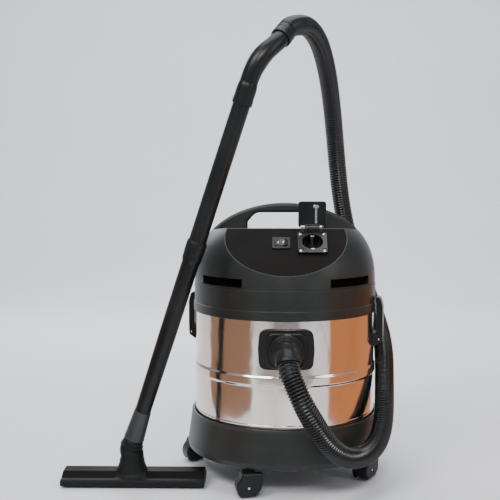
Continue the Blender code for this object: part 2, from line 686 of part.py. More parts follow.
def cord_gland(cover, rubber, axis):
    """Gland for the mains lead at the back of the head."""
    turn = Matrix.Rotation(GLAND_ANGLE, 4, "Z") @ Matrix.Rotation(math.pi / 2, 4, "Y")
    skin = dome_radius(GLAND_HEIGHT)
    spot = (0.0, 0.0, SEAM + GLAND_HEIGHT)
    hole = shifted(disc(GLAND_RADIUS - 0.002 + GAP, skin - 0.03, skin + 0.03, SMALL + 4), turn)
    carve(cover, place("gland_hole", hole, None, axis, spot))
    profile = [
        (CORD_BORE, skin - 0.009), (GLAND_RADIUS - 0.002, skin - 0.009), (GLAND_RADIUS - 0.002, skin + 0.0012),
        (GLAND_RADIUS, skin + 0.0012), (GLAND_RADIUS, skin + 0.0040), (GLAND_RADIUS - 0.0022, skin + 0.0055),
        (CORD_BORE + 0.0012, skin + 0.015), (CORD_BORE, skin + 0.015),
    ]
    place("cord_gland", shifted(turned(profile, SMALL + 4), turn), rubber, axis, spot)


def carry_handle(plastic, axis):
    """Arched handle that carries on the dome's curve over the hand gap."""
    steps = 12
    outer = []
    for step in range(steps + 1):
        x = HANDLE_REACH * (1 - 2 * step / steps)
        outer.append((x, SEAM + dome_height(abs(x))))
    foot = SEAM + RIDGE_HEIGHT - 0.03
    gap_top = SEAM + HAND_GAP_HEIGHT
    half_low = HAND_GAP_WIDTH / 2
    half_top = HAND_GAP_TOP / 2
    shoulder = gap_top - 0.009
    inner = [(-half_low, foot), (-half_low, shoulder - 0.014), (-half_top - 0.006, shoulder), (-half_top, gap_top - 0.003),
             (-half_top + 0.012, gap_top)]
    outline = outer + [(-HANDLE_REACH, foot)] + inner + [(-x, z) for x, z in inner[::-1]] + [(HANDLE_REACH, foot)]
    bar = prism(outline, -HANDLE_DEPTH / 2, HANDLE_DEPTH / 2, "Y")
    handle = place("carry_handle", bar, plastic, axis)
    round_edges(handle, 0.0045, 2, 50.0)
    below = prism(rectangle(0.5, 0.5), -0.1, GAP)
    seat = place("handle_seat", below, None, axis, (0.0, RIDGE_Y, RIDGE_Z), (-TOP_TILT, 0.0, 0.0))
    carve(handle, seat)


# ---------------------------------------------------------------- slanted control panel
def control_panel(cover, plastic, axis):
    """Smooth plate let into the slanted face of the cover, with its switch and socket holes."""
    frame = empty("panel_frame", (0.0, RIDGE_Y, RIDGE_Z), (PANEL_TILT, 0.0, 0.0), axis)
    pocket = prism(panel_outline(PANEL_MARGIN - GAP), -PANEL_THICKNESS - GAP, 0.01)
    carve(cover, place("panel_pocket", pocket, None, frame))
    plate = place("control_panel", prism(panel_outline(PANEL_MARGIN), -PANEL_THICKNESS, 0.0), plastic, frame)
    body = (SWITCH_FRAME[0] - 0.006, SWITCH_FRAME[1] - 0.006)
    window = prism(rectangle(body[0] + 2 * FIT, body[1] + 2 * FIT), -0.03, 0.01)
    switch_hole = place("switch_hole", window, None, frame, (SWITCH_X, SWITCH_V, 0.0))
    well = disc(WELL_RADIUS + WELL_WALL + FIT, -0.03, 0.01, MIDDLE)
    socket_hole = place("socket_hole", well, None, frame, (SOCKET_X, SOCKET_V, 0.0))
    for piece in (cover, plate):
        carve(piece, switch_hole)
        carve(piece, socket_hole)
    return frame


def power_switch(plastic, frame):
    """Bezel and rocker of the power switch; the rocker's rest is off, its right half up."""
    body = (SWITCH_FRAME[0] - 0.006, SWITCH_FRAME[1] - 0.006)
    spot = (SWITCH_X, SWITCH_V, 0.0)
    bezel = place("switch_frame", prism(rectangle(*SWITCH_FRAME, radius=0.002, steps=1), GAP, SWITCH_RISE), plastic,
                  frame, spot)
    shank = place("switch_shank", prism(rectangle(*body), -SWITCH_DEPTH, SWITCH_RISE / 2), None, frame, spot)
    carve(bezel, shank, "UNION")
    carve(bezel, place("switch_bore", prism(rectangle(*SWITCH_BORE), -0.05, 0.05), None, frame, spot))
    wide = SWITCH_BORE[0] / 2 - 0.0013
    deep = SWITCH_BORE[1] / 2 - FIT
    outline = [(-wide, -0.006), (wide, -0.006), (wide, 0.0048), (0.0, 0.0030), (-wide, 0.0048)]
    rocker = prism(outline, -deep, deep, "Y")
    place("rocker_switch", rocker, plastic, frame, spot, (0.0, -ROCKER_TILT, 0.0))


def panel_socket(plastic, steel, frame):
    """Power socket in the panel with its hinged lid, standing open."""
    spot = (SOCKET_X, SOCKET_V, 0.0)
    flange = prism(rectangle(SOCKET_SIZE, SOCKET_SIZE, radius=0.003, steps=1), GAP, SOCKET_RISE)
    body = place("socket_body", flange, plastic, frame, spot)
    cup = disc(WELL_RADIUS + WELL_WALL, -WELL_DEPTH, SOCKET_RISE / 2, MIDDLE)
    carve(body, place("socket_cup", cup, None, frame, spot), "UNION")
    lug_half = KNUCKLE_LENGTH / 2 + FIT
    hinge = (SOCKET_X, HINGE_V, HINGE_N)
    for side in (-1, 1):
        edge = sorted((side * lug_half, side * (lug_half + 0.006)))
        outline = [(-0.0062, -HINGE_N + SOCKET_RISE - 0.002), (0.0030, -HINGE_N + 2 * GAP), (KNUCKLE_RADIUS, 0.0),
                   (0.0024, 0.0024), (0.0, KNUCKLE_RADIUS), (-0.0024, 0.0024), (-KNUCKLE_RADIUS, 0.0)]
        lug = prism(outline, edge[0], edge[1], "X")
        carve(body, place(f"hinge_lug_{'left' if side < 0 else 'right'}", lug, None, frame, hinge), "UNION")
    well = disc(WELL_RADIUS, -WELL_DEPTH + 0.002, 0.02, MIDDLE)
    carve(body, place("socket_well", well, None, frame, spot))
    across = Matrix.Rotation(math.pi / 2, 4, "Y")
    pin_hole = shifted(disc(PIN_RADIUS + GAP, -0.04, 0.04, SMALL), across)
    carve(body, place("hinge_hole", pin_hole, None, frame, hinge))

    pin = shifted(disc(PIN_RADIUS, -lug_half - 0.0058, lug_half + 0.0058, SMALL), across)
    place("lid_hinge_pin", pin, steel, frame, hinge)
    lid_frame = empty("lid_frame", hinge, (-LID_OPEN, 0.0, 0.0), frame)
    low = SOCKET_RISE - HINGE_N + 0.0005
    near = -KNUCKLE_RADIUS + 0.0010
    outline = rectangle(LID_WIDTH, LID_LENGTH, (0.0, near - LID_LENGTH / 2), radius=0.004, steps=2)
    lid = place("socket_lid", prism(outline, low, low + LID_THICKNESS), plastic, lid_frame)
    tray = rectangle(LID_WIDTH - 0.007, LID_LENGTH - 0.010, (0.0, near - LID_LENGTH / 2), radius=0.003, steps=1)
    carve(lid, place("lid_recess", prism(tray, low - 0.01, low + LID_THICKNESS / 2), None, lid_frame))
    notch_half = lug_half + 0.006 + FIT
    notch = prism([(-0.0062, -0.01), (0.01, -0.01), (0.01, 0.01), (-0.0062, 0.01)], -notch_half, notch_half, "X")
    carve(lid, place("lid_notch", notch, None, lid_frame))
    arm = prism([(-0.0090, low + LID_THICKNESS / 2), (0.0, -KNUCKLE_RADIUS + 0.0006), (0.0024, -0.0024),
                 (KNUCKLE_RADIUS, 0.0), (0.0024, 0.0024), (0.0, KNUCKLE_RADIUS), (-0.0090, low + LID_THICKNESS)],
                -KNUCKLE_LENGTH / 2, KNUCKLE_LENGTH / 2, "X")
    carve(lid, place("lid_knuckle", arm, None, lid_frame), "UNION")
    bore = shifted(disc(PIN_RADIUS + GAP, -0.04, 0.04, SMALL), across)
    carve(lid, place("knuckle_bore", bore, None, lid_frame))

    spring_top = low + LID_THICKNESS / 2 - GAP
    middle = near - LID_LENGTH / 2
    strip = [(0.005, middle + 0.016), (0.005, middle - 0.012), (0.002, middle - 0.012), (0.002, middle - 0.017),
             (0.012, middle - 0.017), (0.012, middle - 0.012), (0.009, middle - 0.012), (0.009, middle + 0.016)]
    place("lid_spring", prism(strip, spring_top - 0.0009, spring_top), steel, lid_frame)


# ---------------------------------------------------------------- motor and filter
def bladed_wheel(radius, hub, blades, low, high, sweep):
    """A wheel of swept blades round a hub, as one outline."""
    outline = []
    pitch = 2 * math.pi / blades
    for number in range(blades):
        for r, share in ((hub, 0.0), (radius, sweep), (radius, sweep + 0.12), (hub, 0.40)):
            angle = pitch * (number + share)
            outline.append((r * math.cos(angle), r * math.sin(angle)))
    return prism(outline, low, high)


def motor(plastic, steel, copper, rubber, axis):
    """Motor on the deck: gasket, fan housing and motor can, bearings, stator, rotor, shaft and both fans."""
    gasket = disc(FAN_RADIUS - 0.002, DECK_TOP + GAP, DECK_TOP + GAP + GASKET_HEIGHT, MIDDLE, bore=DECK_PORT + 0.004)
    place("motor_gasket", gasket, rubber, axis)
    foot = DECK_TOP + GASKET_HEIGHT + 2 * GAP
    shelf = foot + FAN_HEIGHT
    top = shelf + MOTOR_HEIGHT
    seat = BEARING_RADIUS + GAP
    wall = HOUSING_WALL
    profile = [
        (0.024, foot), (FAN_RADIUS, foot), (FAN_RADIUS, shelf), (MOTOR_RADIUS, shelf + 0.004), (MOTOR_RADIUS, top - 0.003),
        (seat + 0.003, top), (seat, top), (seat, top - BEARING_HEIGHT), (seat + 0.0025, top - BEARING_HEIGHT),
        (seat + 0.0025, top - 0.004), (MOTOR_RADIUS - wall, top - 0.005), (MOTOR_RADIUS - wall, shelf + 0.003),
        (seat + 0.0025, shelf + 0.003), (seat + 0.0025, shelf + 0.0045), (seat, shelf + 0.0045),
        (seat, shelf + 0.0045 - BEARING_HEIGHT), (seat + 0.0025, shelf + 0.0045 - BEARING_HEIGHT),
        (seat + 0.0025, shelf - wall), (FAN_RADIUS - wall, shelf - wall), (FAN_RADIUS - wall, foot + wall),
        (0.024, foot + wall),
    ]
    place("motor_housing", turned(profile, MIDDLE), steel, axis)
    for name, height in (("bearing_lower", shelf + 0.0045 - BEARING_HEIGHT), ("bearing_upper", top - BEARING_HEIGHT)):
        bearing = disc(BEARING_RADIUS, height + GAP, height + BEARING_HEIGHT - GAP, SMALL + 2, bore=SHAFT_RADIUS + GAP)
        place(name, bearing, steel, axis)
    stator_low, stator_high = shelf + 0.0075, top - 0.0115
    stator = disc(MOTOR_RADIUS - wall - GAP, stator_low, stator_high, MIDDLE, bore=0.0285)
    place("motor_stator", stator, copper, axis)
    rotor = disc(0.0275, stator_low, stator_high, MIDDLE, bore=SHAFT_RADIUS + GAP)
    place("motor_rotor", rotor, copper, axis)
    shaft = disc(SHAFT_RADIUS, foot + 0.006, top + 0.012, SMALL + 2)
    place("motor_shaft", shaft, steel, axis)
    eye = disc(SHAFT_RADIUS + GAP, foot - 0.01, top + 0.02, SMALL + 2)
    wheel = bladed_wheel(FAN_RADIUS - 0.008, 0.016, 8, foot + 0.012, foot + 0.028, 0.45)
    impeller = place("suction_impeller", wheel, steel, axis)
    fan = place("cooling_fan", bladed_wheel(0.036, 0.011, 6, top + 0.003, top + 0.009, 0.25), plastic, axis)
    cutter = place("shaft_bore", eye, None, axis)
    carve(impeller, cutter)
    carve(fan, cutter)


def filter_set(plastic, foam, steel, axis):
    """Float cage under the deck with its ball, the filter sleeve round it and the sleeve's clamp."""
    top = DECK_BOTTOM - GAP
    low = top - CAGE_HEIGHT
    inner = CAGE_RADIUS - CAGE_WALL
    profile = [
        (0.0, low), (CAGE_RADIUS, low), (CAGE_RADIUS, top - 0.004), (CAGE_RADIUS + 0.012, top - 0.004),
        (CAGE_RADIUS + 0.012, top), (BALL_RADIUS - 0.004, top), (BALL_RADIUS - 0.004, top - 0.004),
        (inner, top - 0.008), (inner, low + 0.003), (0.0, low + 0.003),
    ]
    cage = place("float_cage", turned(profile, MIDDLE), plastic, axis)
    for number in range(2):
        window = prism(rectangle(0.12, 0.034), low + 0.010, top - 0.024)
        cutter = place(f"cage_window_{number + 1}", window, None, axis, rotation=(0.0, 0.0, math.pi / 2 * number))
        carve(cage, cutter)
    levels = [math.pi * step / 8 for step in range(9)]
    ball = turned([(BALL_RADIUS * math.sin(a), -BALL_RADIUS * math.cos(a)) for a in levels], SMALL + 4)
    place("float_ball", ball, plastic, axis, (0.0, 0.0, low + 0.003 + GAP + BALL_RADIUS))
    bore = CAGE_RADIUS + FIT
    sleeve = disc(bore + SLEEVE_THICKNESS, low + 0.001, top - 0.005, MIDDLE, bore=bore)
    place("filter_sleeve", sleeve, foam, axis)
    clamp_bore = bore + SLEEVE_THICKNESS + GAP
    clamp = disc(clamp_bore + 0.0025, top - 0.018, top - 0.010, MIDDLE, bore=clamp_bore)
    place("filter_clamp", clamp, steel, axis)


# ---------------------------------------------------------------- hose, wand and nozzle
def hose_ends():
    """First and last point of the hose: in front of the inlet ring and above the wand's top."""
    ring_face = Vector((0.0, -(TANK_RADIUS + RING_RISE), INLET_Z))
    return ring_face + Vector(INLET_REACH), wand_point(WAND_TOP) + Vector(WAND_REACH)


def hose_and_cuffs(plastic, rubber, axis):
    """Free suction hose with the elbow cuff at the inlet and the straight cuff at the handle."""
    first, last = hose_ends()
    free = [first + HOSE_START * HOSE_LEAD] + HOSE_ROUTE + [last - HOSE_FINISH * HOSE_LEAD]
    route = [first] + smooth_route(free, HOSE_POINTS - 2, HOSE_START, HOSE_FINISH) + [last]
    curve = bpy.data.curves.new("hose", "CURVE")
    curve.dimensions = "3D"
    curve.bevel_depth = HOSE_DIAMETER / 2
    curve.bevel_resolution = 3
    curve.use_fill_caps = True
    spline = curve.splines.new("POLY")
    spline.points.add(len(route) - 1)
    for point, spot in zip(spline.points, route):
        point.co = (*spot, 1.0)
    curve.materials.append(rubber)
    hose = bpy.data.objects.new("hose", curve)
    hose.parent = axis
    bpy.context.scene.collection.objects.link(hose)

    face = TANK_RADIUS + RING_RISE
    outlet = first - HOSE_START * GAP
    bend = [Vector((0.0, -face + 0.014, INLET_Z)), Vector((0.0, -face - 0.0004, INLET_Z)),
            Vector((0.0, -face - 0.0014, INLET_Z)), Vector((0.0, -face - 0.012, INLET_Z)),
            Vector((0.0, -face - 0.023, INLET_Z - 0.0018)), outlet - HOSE_START * 0.008, outlet]
    spigot = INLET_BORE - FIT
    radii = [spigot, spigot, CUFF_RADIUS + 0.0015, CUFF_RADIUS, CUFF_RADIUS - 0.0004, CUFF_RADIUS - 0.0008,
             CUFF_RADIUS - 0.0008]
    place("hose_cuff_inlet", swept(bend, radii, [CUFF_BORE] * len(bend)), plastic, axis)


def handle_and_wand(plastic, axis):
    """Handle tube with its hose cuff, and the two wand tubes below it."""
    wand_tube("wand_lower", plastic, WAND_FOOT, WAND_MIDDLE + OVERLAP, True, axis)
    wand_tube("wand_upper", plastic, WAND_MIDDLE + 0.002, WAND_TOP, False, axis)
    socket_wide = WAND_RADIUS + FIT + SOCKET_WALL
    mouth = wand_point(WAND_TOP - OVERLAP)
    seat = wand_point(WAND_TOP + 0.001)
    rise = (seat - mouth).normalized()
    hose_end = hose_ends()[1] + HOSE_FINISH * GAP
    end = hose_end + HOSE_FINISH * CUFF_SHANK
    top = wand_point(WAND_TOP)
    knee = [seat + rise * 0.008, top + Vector(HANDLE_KNEE), end + HOSE_FINISH * 0.016]
    bend = smooth_route(knee, 7, rise, -HOSE_FINISH)
    path = [mouth, seat, seat + rise * 0.0005] + bend + [end]
    outer = [socket_wide] * 3 + [WAND_RADIUS] * 8
    bore = [WAND_RADIUS + FIT] * 2 + [WAND_BORE] * 9
    place("handle_tube", swept(path, outer, bore), plastic, axis)

    cuff_bore = WAND_RADIUS + FIT
    cuff_wide = cuff_bore + 0.0028
    cuff_path = [hose_end, end + HOSE_FINISH * 0.013]
    place("hose_cuff_handle", swept(cuff_path, [cuff_wide] * 2, [cuff_bore] * 2), plastic, axis)


def floor_nozzle(plastic, bristle, axis):
    """Floor nozzle: body with its neck, the insert in its mouth and two brush strips."""
    foot = wand_point(WAND_FOOT)
    centre = (foot.x + 0.0017, foot.y + 0.007, 0.0)
    half = NOZZLE_WIDTH / 2
    front, back = -NOZZLE_DEPTH / 2, NOZZLE_DEPTH / 2
    low = NOZZLE_LIFT
    top = NOZZLE_HEIGHT
    outline = [(front, low), (front, low + 0.0095), (front + 0.014, top - 0.003), (front + 0.026, top),
               (back - 0.018, top), (back - 0.002, top - 0.009), (back, low)]
    body = place("nozzle_body", prism(outline, -half, half, "X"), plastic, axis, centre)
    round_edges(body, 0.003, 1, 50.0)

    local = foot - Vector(centre)
    rise = (wand_point(1.0) - wand_point(0.0)).normalized()
    socket_bore = WAND_RADIUS + FIT
    base = Vector((0.0, 0.0, low + 0.010))
    climb = [base, base + Vector((0.0, 0.0, 0.014)), local - rise * 0.024, local - rise * 0.012, local - rise * 0.002]
    collar = local + rise * 0.016
    wide = socket_bore + NECK_WALL
    neck = swept(climb + [collar], [0.0245, 0.0225, wide - 0.0001, wide - 0.0006, wide, wide])
    carve(body, place("nozzle_neck", neck, None, axis, centre), "UNION")
    airway = [base + Vector((0.0, 0.0, -0.02))] + climb[1:] + [local - rise * 0.0015, collar + rise * 0.01]
    radii = [0.0150, 0.0150, WAND_BORE, WAND_BORE, WAND_BORE, socket_bore, socket_bore]
    carve(body, place("nozzle_airway", swept(airway, radii), None, axis, centre))
    mouth = prism(rectangle(MOUTH_WIDTH, NOZZLE_DEPTH - 0.016), low - 0.01, low + 0.010)
    carve(body, place("nozzle_mouth", mouth, None, axis, centre))

    across = MOUTH_WIDTH - 2 * FIT
    deep = NOZZLE_DEPTH - 0.016 - 2 * FIT
    insert = place("nozzle_insert", prism(rectangle(across, deep), low + 0.001, low + 0.001 + INSERT_HEIGHT), plastic,
                   axis, centre)
    slot = prism(rectangle(across - 0.016, 0.020), low - 0.01, low + 0.02)
    carve(insert, place("insert_slot", slot, None, axis, centre))
    for name, side in (("brush_front", -1), ("brush_rear", 1)):
        strip = prism(rectangle(across - 0.012, 0.005, (0.0, side * (deep / 2 - 0.007))), 0.0, low + 0.001 - GAP)
        place(name, strip, bristle, axis, centre)


def build():
    """Clear the scene and model every piece."""
    for old in list(bpy.data.objects):
        bpy.data.objects.remove(old, do_unlink=True)
    satin = material("satin_black_plastic", (0.035, 0.038, 0.038), 0.5)
    gloss = material("smooth_dark_panel", (0.016, 0.013, 0.012), 0.35)
    black = material("black_plastic", (0.012, 0.013, 0.013), 0.45)
    polished = material("polished_stainless_steel", (0.78, 0.76, 0.74), 0.08, 1.0)
    steel = material("bright_steel", (0.62, 0.62, 0.62), 0.25, 1.0)
    copper = material("motor_windings", (0.45, 0.20, 0.08), 0.45, 1.0)
    rubber = material("black_rubber", (0.015, 0.015, 0.015), 0.75)
    hose_skin = material("hose_plastic", (0.012, 0.013, 0.014), 0.4)
    tread = material("caster_tyre", (0.025, 0.025, 0.026), 0.6)
    foam = material("filter_foam", (0.075, 0.075, 0.08), 0.95)
    bristle = material("brush_hair", (0.02, 0.02, 0.02), 0.9)

    axis = empty("vacuum_axis", (AXIS_X, AXIS_Y, 0.0))
    base_tray(satin, axis)
    casters(black, tread, steel, axis)
    tank(polished, axis)
    inlet(black, rubber, axis)
    latch("right", LATCH_TURN, black, steel, axis)
    latch("left", LATCH_TURN + math.pi, black, steel, axis)
    cover = head_shells(satin, rubber, axis)
    cord_gland(cover, rubber, axis)
    carry_handle(satin, axis)
    frame = control_panel(cover, gloss, axis)
    power_switch(black, frame)
    panel_socket(black, steel, frame)
    motor(black, steel, copper, rubber, axis)
    filter_set(black, foam, steel, axis)
    hose_and_cuffs(black, hose_skin, axis)
    handle_and_wand(black, axis)
    floor_nozzle(black, bristle, axis)
    bpy.context.view_layer.update()


build()
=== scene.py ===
"""Studio scene of the wet and dry shop vacuum: the looks of every piece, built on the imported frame.

Units are metres.  Pieces are modelled round the tank's upright centre line and then moved out to it.
"""
import json
import random
from math import acos, atan2, cos, exp, hypot, pi, radians, sin, sqrt, tan

import bmesh
import bpy
import numpy as np
from mathutils import Matrix, Vector


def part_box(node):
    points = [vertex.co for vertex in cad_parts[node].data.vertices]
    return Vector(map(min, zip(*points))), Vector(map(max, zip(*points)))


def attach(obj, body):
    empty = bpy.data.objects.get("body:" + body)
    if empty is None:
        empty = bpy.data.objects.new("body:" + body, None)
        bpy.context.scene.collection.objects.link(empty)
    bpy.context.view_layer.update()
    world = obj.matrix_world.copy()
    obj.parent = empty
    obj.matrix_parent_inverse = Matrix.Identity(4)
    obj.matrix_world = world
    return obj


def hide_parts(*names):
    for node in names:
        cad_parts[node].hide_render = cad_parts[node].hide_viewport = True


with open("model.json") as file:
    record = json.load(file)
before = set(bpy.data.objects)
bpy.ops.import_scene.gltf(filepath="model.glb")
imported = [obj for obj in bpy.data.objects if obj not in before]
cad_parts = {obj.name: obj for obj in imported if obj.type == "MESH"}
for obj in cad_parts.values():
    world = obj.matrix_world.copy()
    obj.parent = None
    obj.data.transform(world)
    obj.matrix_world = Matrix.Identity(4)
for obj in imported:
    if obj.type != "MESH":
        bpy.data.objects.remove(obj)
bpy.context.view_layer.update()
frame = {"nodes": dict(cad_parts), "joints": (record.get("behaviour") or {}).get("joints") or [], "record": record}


def shift(x, y, z=0.0):
    """A move by x, y and z."""
    return Matrix.Translation((x, y, z))


def spin(angle, axis="Z"):
    """A turn about an axis."""
    return Matrix.Rotation(angle, 4, axis)


X_TURN = spin(pi / 2, "X")
Y_TURN = spin(pi / 2, "Y")

# ---- sizes, from the frame where it has them
GAP = 0.0003
FIT = 0.0004
BEAD_RISE = 0.0022
tank_low, tank_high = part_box("tank")
deck_low, deck_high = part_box("motor_deck")
base_low, base_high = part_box("base_tray")
cover_low, cover_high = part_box("head_cover")
AXIS = Vector(((tank_low.x + tank_high.x) / 2, (tank_low.y + tank_high.y) / 2, 0.0))
TANK_RADIUS = (tank_high.x - tank_low.x) / 2 - BEAD_RISE
TANK_BOTTOM, TANK_TOP = tank_low.z, tank_high.z
TANK_WALL = 0.0009
RIM_RADIUS = (deck_high.x - deck_low.x) / 2
RIM_LOW, SEAM = deck_low.z, deck_high.z
BAND_RADIUS = RIM_RADIUS - 0.0015
DOME_RADIUS = (cover_high.x - cover_low.x) / 2
DOME_HEIGHT = 0.149
DOME_POWER = 2.5
DOME_SHARE = 0.86
RIDGE_HEIGHT = 0.1047
RIDGE_Y = 0.0958 - DOME_RADIUS
RIDGE_Z = SEAM + RIDGE_HEIGHT
PANEL_TILT = radians(40)
TOP_TILT = radians(6)
PANEL_THICKNESS = 0.002
VENT_FINS = 15
PANEL_MARGIN = 0.0012
PANEL_FRAME = shift(0.0, RIDGE_Y, RIDGE_Z) @ spin(PANEL_TILT, "X")
SWITCH_PLACE = Vector((-0.0085, -0.04, 0.0))
SOCKET_PLACE = Vector((0.048, -0.04, 0.0))
SOCKET_SIZE = 0.054
SOCKET_RISE = 0.0045
SOCKET_SCREW = 0.0214
SOCKET_PIN = 0.0095
WELL_RADIUS = 0.019
HINGE_PLACE = SOCKET_PLACE + Vector((0.0, SOCKET_SIZE / 2 + 0.0025, SOCKET_RISE + 0.0035))
LID_FRAME = PANEL_FRAME @ Matrix.Translation(HINGE_PLACE) @ spin(-radians(130), "X")
INLET_Z = TANK_BOTTOM + 0.2012
INLET_BORE = 0.0209
COLLAR_RADIUS = 0.0305
LATCH_PIN_Z = TANK_BOTTOM + 0.1985
LATCH_PIN_R = RIM_RADIUS + 0.008
LATCH_WIDTH = 0.028
LATCH_BORE = 0.0021
LID_BORE = 0.0017
LID_KNUCKLE = 0.0034
LATCH_TURN = radians(-12)
LEAD_RISE = 0.031
LEAD_TURN = radians(112)
CASTER_TRAIL = 0.018
WHEEL_RADIUS = 0.019
WAND_RADIUS = 0.0158
WAND_BORE = 0.0138
SOCKET_WIDE = WAND_RADIUS + FIT + 0.002
WAND_FOOT = 0.078
WAND_JOINT = 0.425
WAND_TOP = 0.722
WAND_OUT, WAND_BACK = 0.1362, 0.0715
OVERLAP = 0.03

# ---- the camera
EYE = (0.082, -1.7331, 0.5707)
EYE_TURN = (radians(90 - 4.706), 0.0, radians(1.215))
LENS = 65.33

# ---- the hose's route, from the tank's centre line
HOSE_DIAMETER = 0.037
HOSE_LEAD = 0.006
HOSE_ROUTE = [
    (0.002, -0.2585, 0.256), (0.01, -0.271, 0.231), (0.025, -0.2775, 0.198), (0.043, -0.27, 0.164),
    (0.066, -0.253, 0.126), (0.098, -0.221, 0.091), (0.134, -0.179, 0.078), (0.163, -0.14, 0.088),
    (0.179, -0.103, 0.114), (0.186, -0.068, 0.148), (0.19, -0.033, 0.186), (0.193, 0.002, 0.224),
    (0.19, 0.042, 0.264), (0.179, 0.083, 0.306), (0.164, 0.119, 0.354), (0.146, 0.147, 0.41),
    (0.13, 0.161, 0.468), (0.118, 0.16, 0.535), (0.109, 0.145, 0.604), (0.099, 0.115, 0.685),
    (0.087, 0.072, 0.753), (0.073, 0.026, 0.8), (0.056, -0.022, 0.829), (0.036, -0.068, 0.84),
    (0.016, -0.109, 0.835), (-0.002, -0.138, 0.82),
]
HOSE_START = Vector((0.12, -0.6, -0.79)).normalized()
HOSE_FINISH = Vector((-0.42, -0.66, -0.62)).normalized()
RIB_PITCH = 0.0054
ROUTE_STEPS = 1500
RIB_STEPS = 8
RIB_DEPTH = 0.0026
RIB_LOSS = 0.0016
STRETCH_START, STRETCH_SPAN = 0.36, 0.22


# ---- mesh helpers
def filleted(outline, radius=0.001, steps=4, closed=True):
    """Round an outline's corners; a point's third value is its own radius."""
    made = []
    count = len(outline)
    for i, corner in enumerate(outline):
        here = Vector(corner[:2])
        own = corner[2] if len(corner) > 2 else radius
        if own <= 0.0 or (not closed and i in (0, count - 1)):
            made.append(tuple(here))
            continue
        back = Vector(outline[i - 1][:2]) - here
        ahead = Vector(outline[(i + 1) % count][:2]) - here
        half = back.angle(ahead) / 2
        cut = min(own / tan(half), 0.45 * back.length, 0.45 * ahead.length)
        if half > pi / 2 - 0.02 or cut < 1e-6:
            made.append(tuple(here))
            continue
        start, finish = here + back.normalized() * cut, here + ahead.normalized() * cut
        for step in range(steps + 1):
            t = step / steps
            made.append(tuple(start * (1 - t) ** 2 + here * (2 * t * (1 - t)) + finish * t ** 2))
    return made


def bridge(bm, first, second):
    """Faces between two rings, either of which may be a single point."""
    count = max(len(first), len(second))
    for i in range(count):
        j = (i + 1) % count
        corners = [
            first[i % len(first)], first[j % len(first)], second[j % len(second)], second[i % len(second)]]
        corners = list(dict.fromkeys(corners))
        if len(corners) > 2:
            bm.faces.new(corners)


def turned(profile, segments=96, wobble=None):
    """Turn an outline of (radius, height) about Z; wobble(turn, height) scales the radius."""
    bm = bmesh.new()
    rings = []
    for radius, height in profile:
        if radius < 1e-9:
            rings.append([bm.verts.new((0.0, 0.0, height))])
            continue
        turns = [2 * pi * i / segments for i in range(segments)]
        sizes = [radius * (wobble(t, height) if wobble else 1.0) for t in turns]
        rings.append([bm.verts.new((r * cos(t), r * sin(t), height)) for r, t in zip(sizes, turns)])
    for first, second in zip(rings, rings[1:]):
        bridge(bm, first, second)
    if len(rings[0]) > 1:
        bridge(bm, rings[-1], rings[0])
    return bm


def disc(radius, low, high, segments=48, bore=0.0, edge=0.0, steps=3):
    """A cylinder or washer about Z, with rounded rims where an edge is given."""
    outer = [(radius, low), (radius, high)]
    ends = [(bore, low), (bore, high)]
    outline = [ends[0], *outer, ends[1]]
    if edge and bore:
        outline = filleted(outline, edge, steps)
    elif edge:
        outline = [ends[0], *filleted(outline, edge, steps)[steps + 1:-steps - 1], ends[1]]
    return turned(outline, segments)


def prism(outline, low, high, axis="Z"):
    """Extrude a flat outline along an axis; the outline is (x, y), (x, z) or (y, z)."""
    spots = {"Z": lambda a, b, t: (a, b, t), "Y": lambda a, b, t: (a, t, b), "X": lambda a, b, t: (t, a, b)}
    bm = bmesh.new()
    ends = [[bm.verts.new(spots[axis](a, b, t)) for a, b in outline] for t in (low, high)]
    bm.faces.new(ends[0])
    bm.faces.new(ends[1])
    bridge(bm, ends[0], ends[1])
    return bm


def rounded_bar(outline, low, high, edge, steps=5):
    """Extrude an outline of (y, z) along X, its ends rounded over."""
    spots = np.array([p[:2] for p in outline])
    middle = (spots.max(axis=0) + spots.min(axis=0)) / 2
    span = spots.max(axis=0) - spots.min(axis=0)
    turns = [pi / 2 * step / steps for step in range(steps + 1)]
    ends = [(edge * (1 - cos(a)), 1 - 2 * edge * (1 - sin(a)) / span) for a in turns]
    sections = [(low + x, share) for x, share in ends] + [(high - x, share) for x, share in ends[::-1]]
    bm = bmesh.new()
    rings = [[bm.verts.new((x, *((spot - middle) * share + middle))) for spot in spots]
             for x, share in sections]
    for first, second in zip(rings, rings[1:]):
        bridge(bm, first, second)
    bm.faces.new(rings[0])
    bm.faces.new(rings[-1])
    return bm


def rectangle(width, height, centre=(0.0, 0.0), radius=0.0, steps=6):
    """A rectangle's outline with round corners."""
    a, b = width / 2, height / 2
    corners = [(a, b), (-a, b), (-a, -b), (a, -b)]
    return filleted([(centre[0] + x, centre[1] + y) for x, y in corners], radius, steps)


def along(direction):
    """The rotation that turns +Z into a direction."""
    return Vector(direction).to_track_quat("Z", "Y").to_matrix().to_4x4()


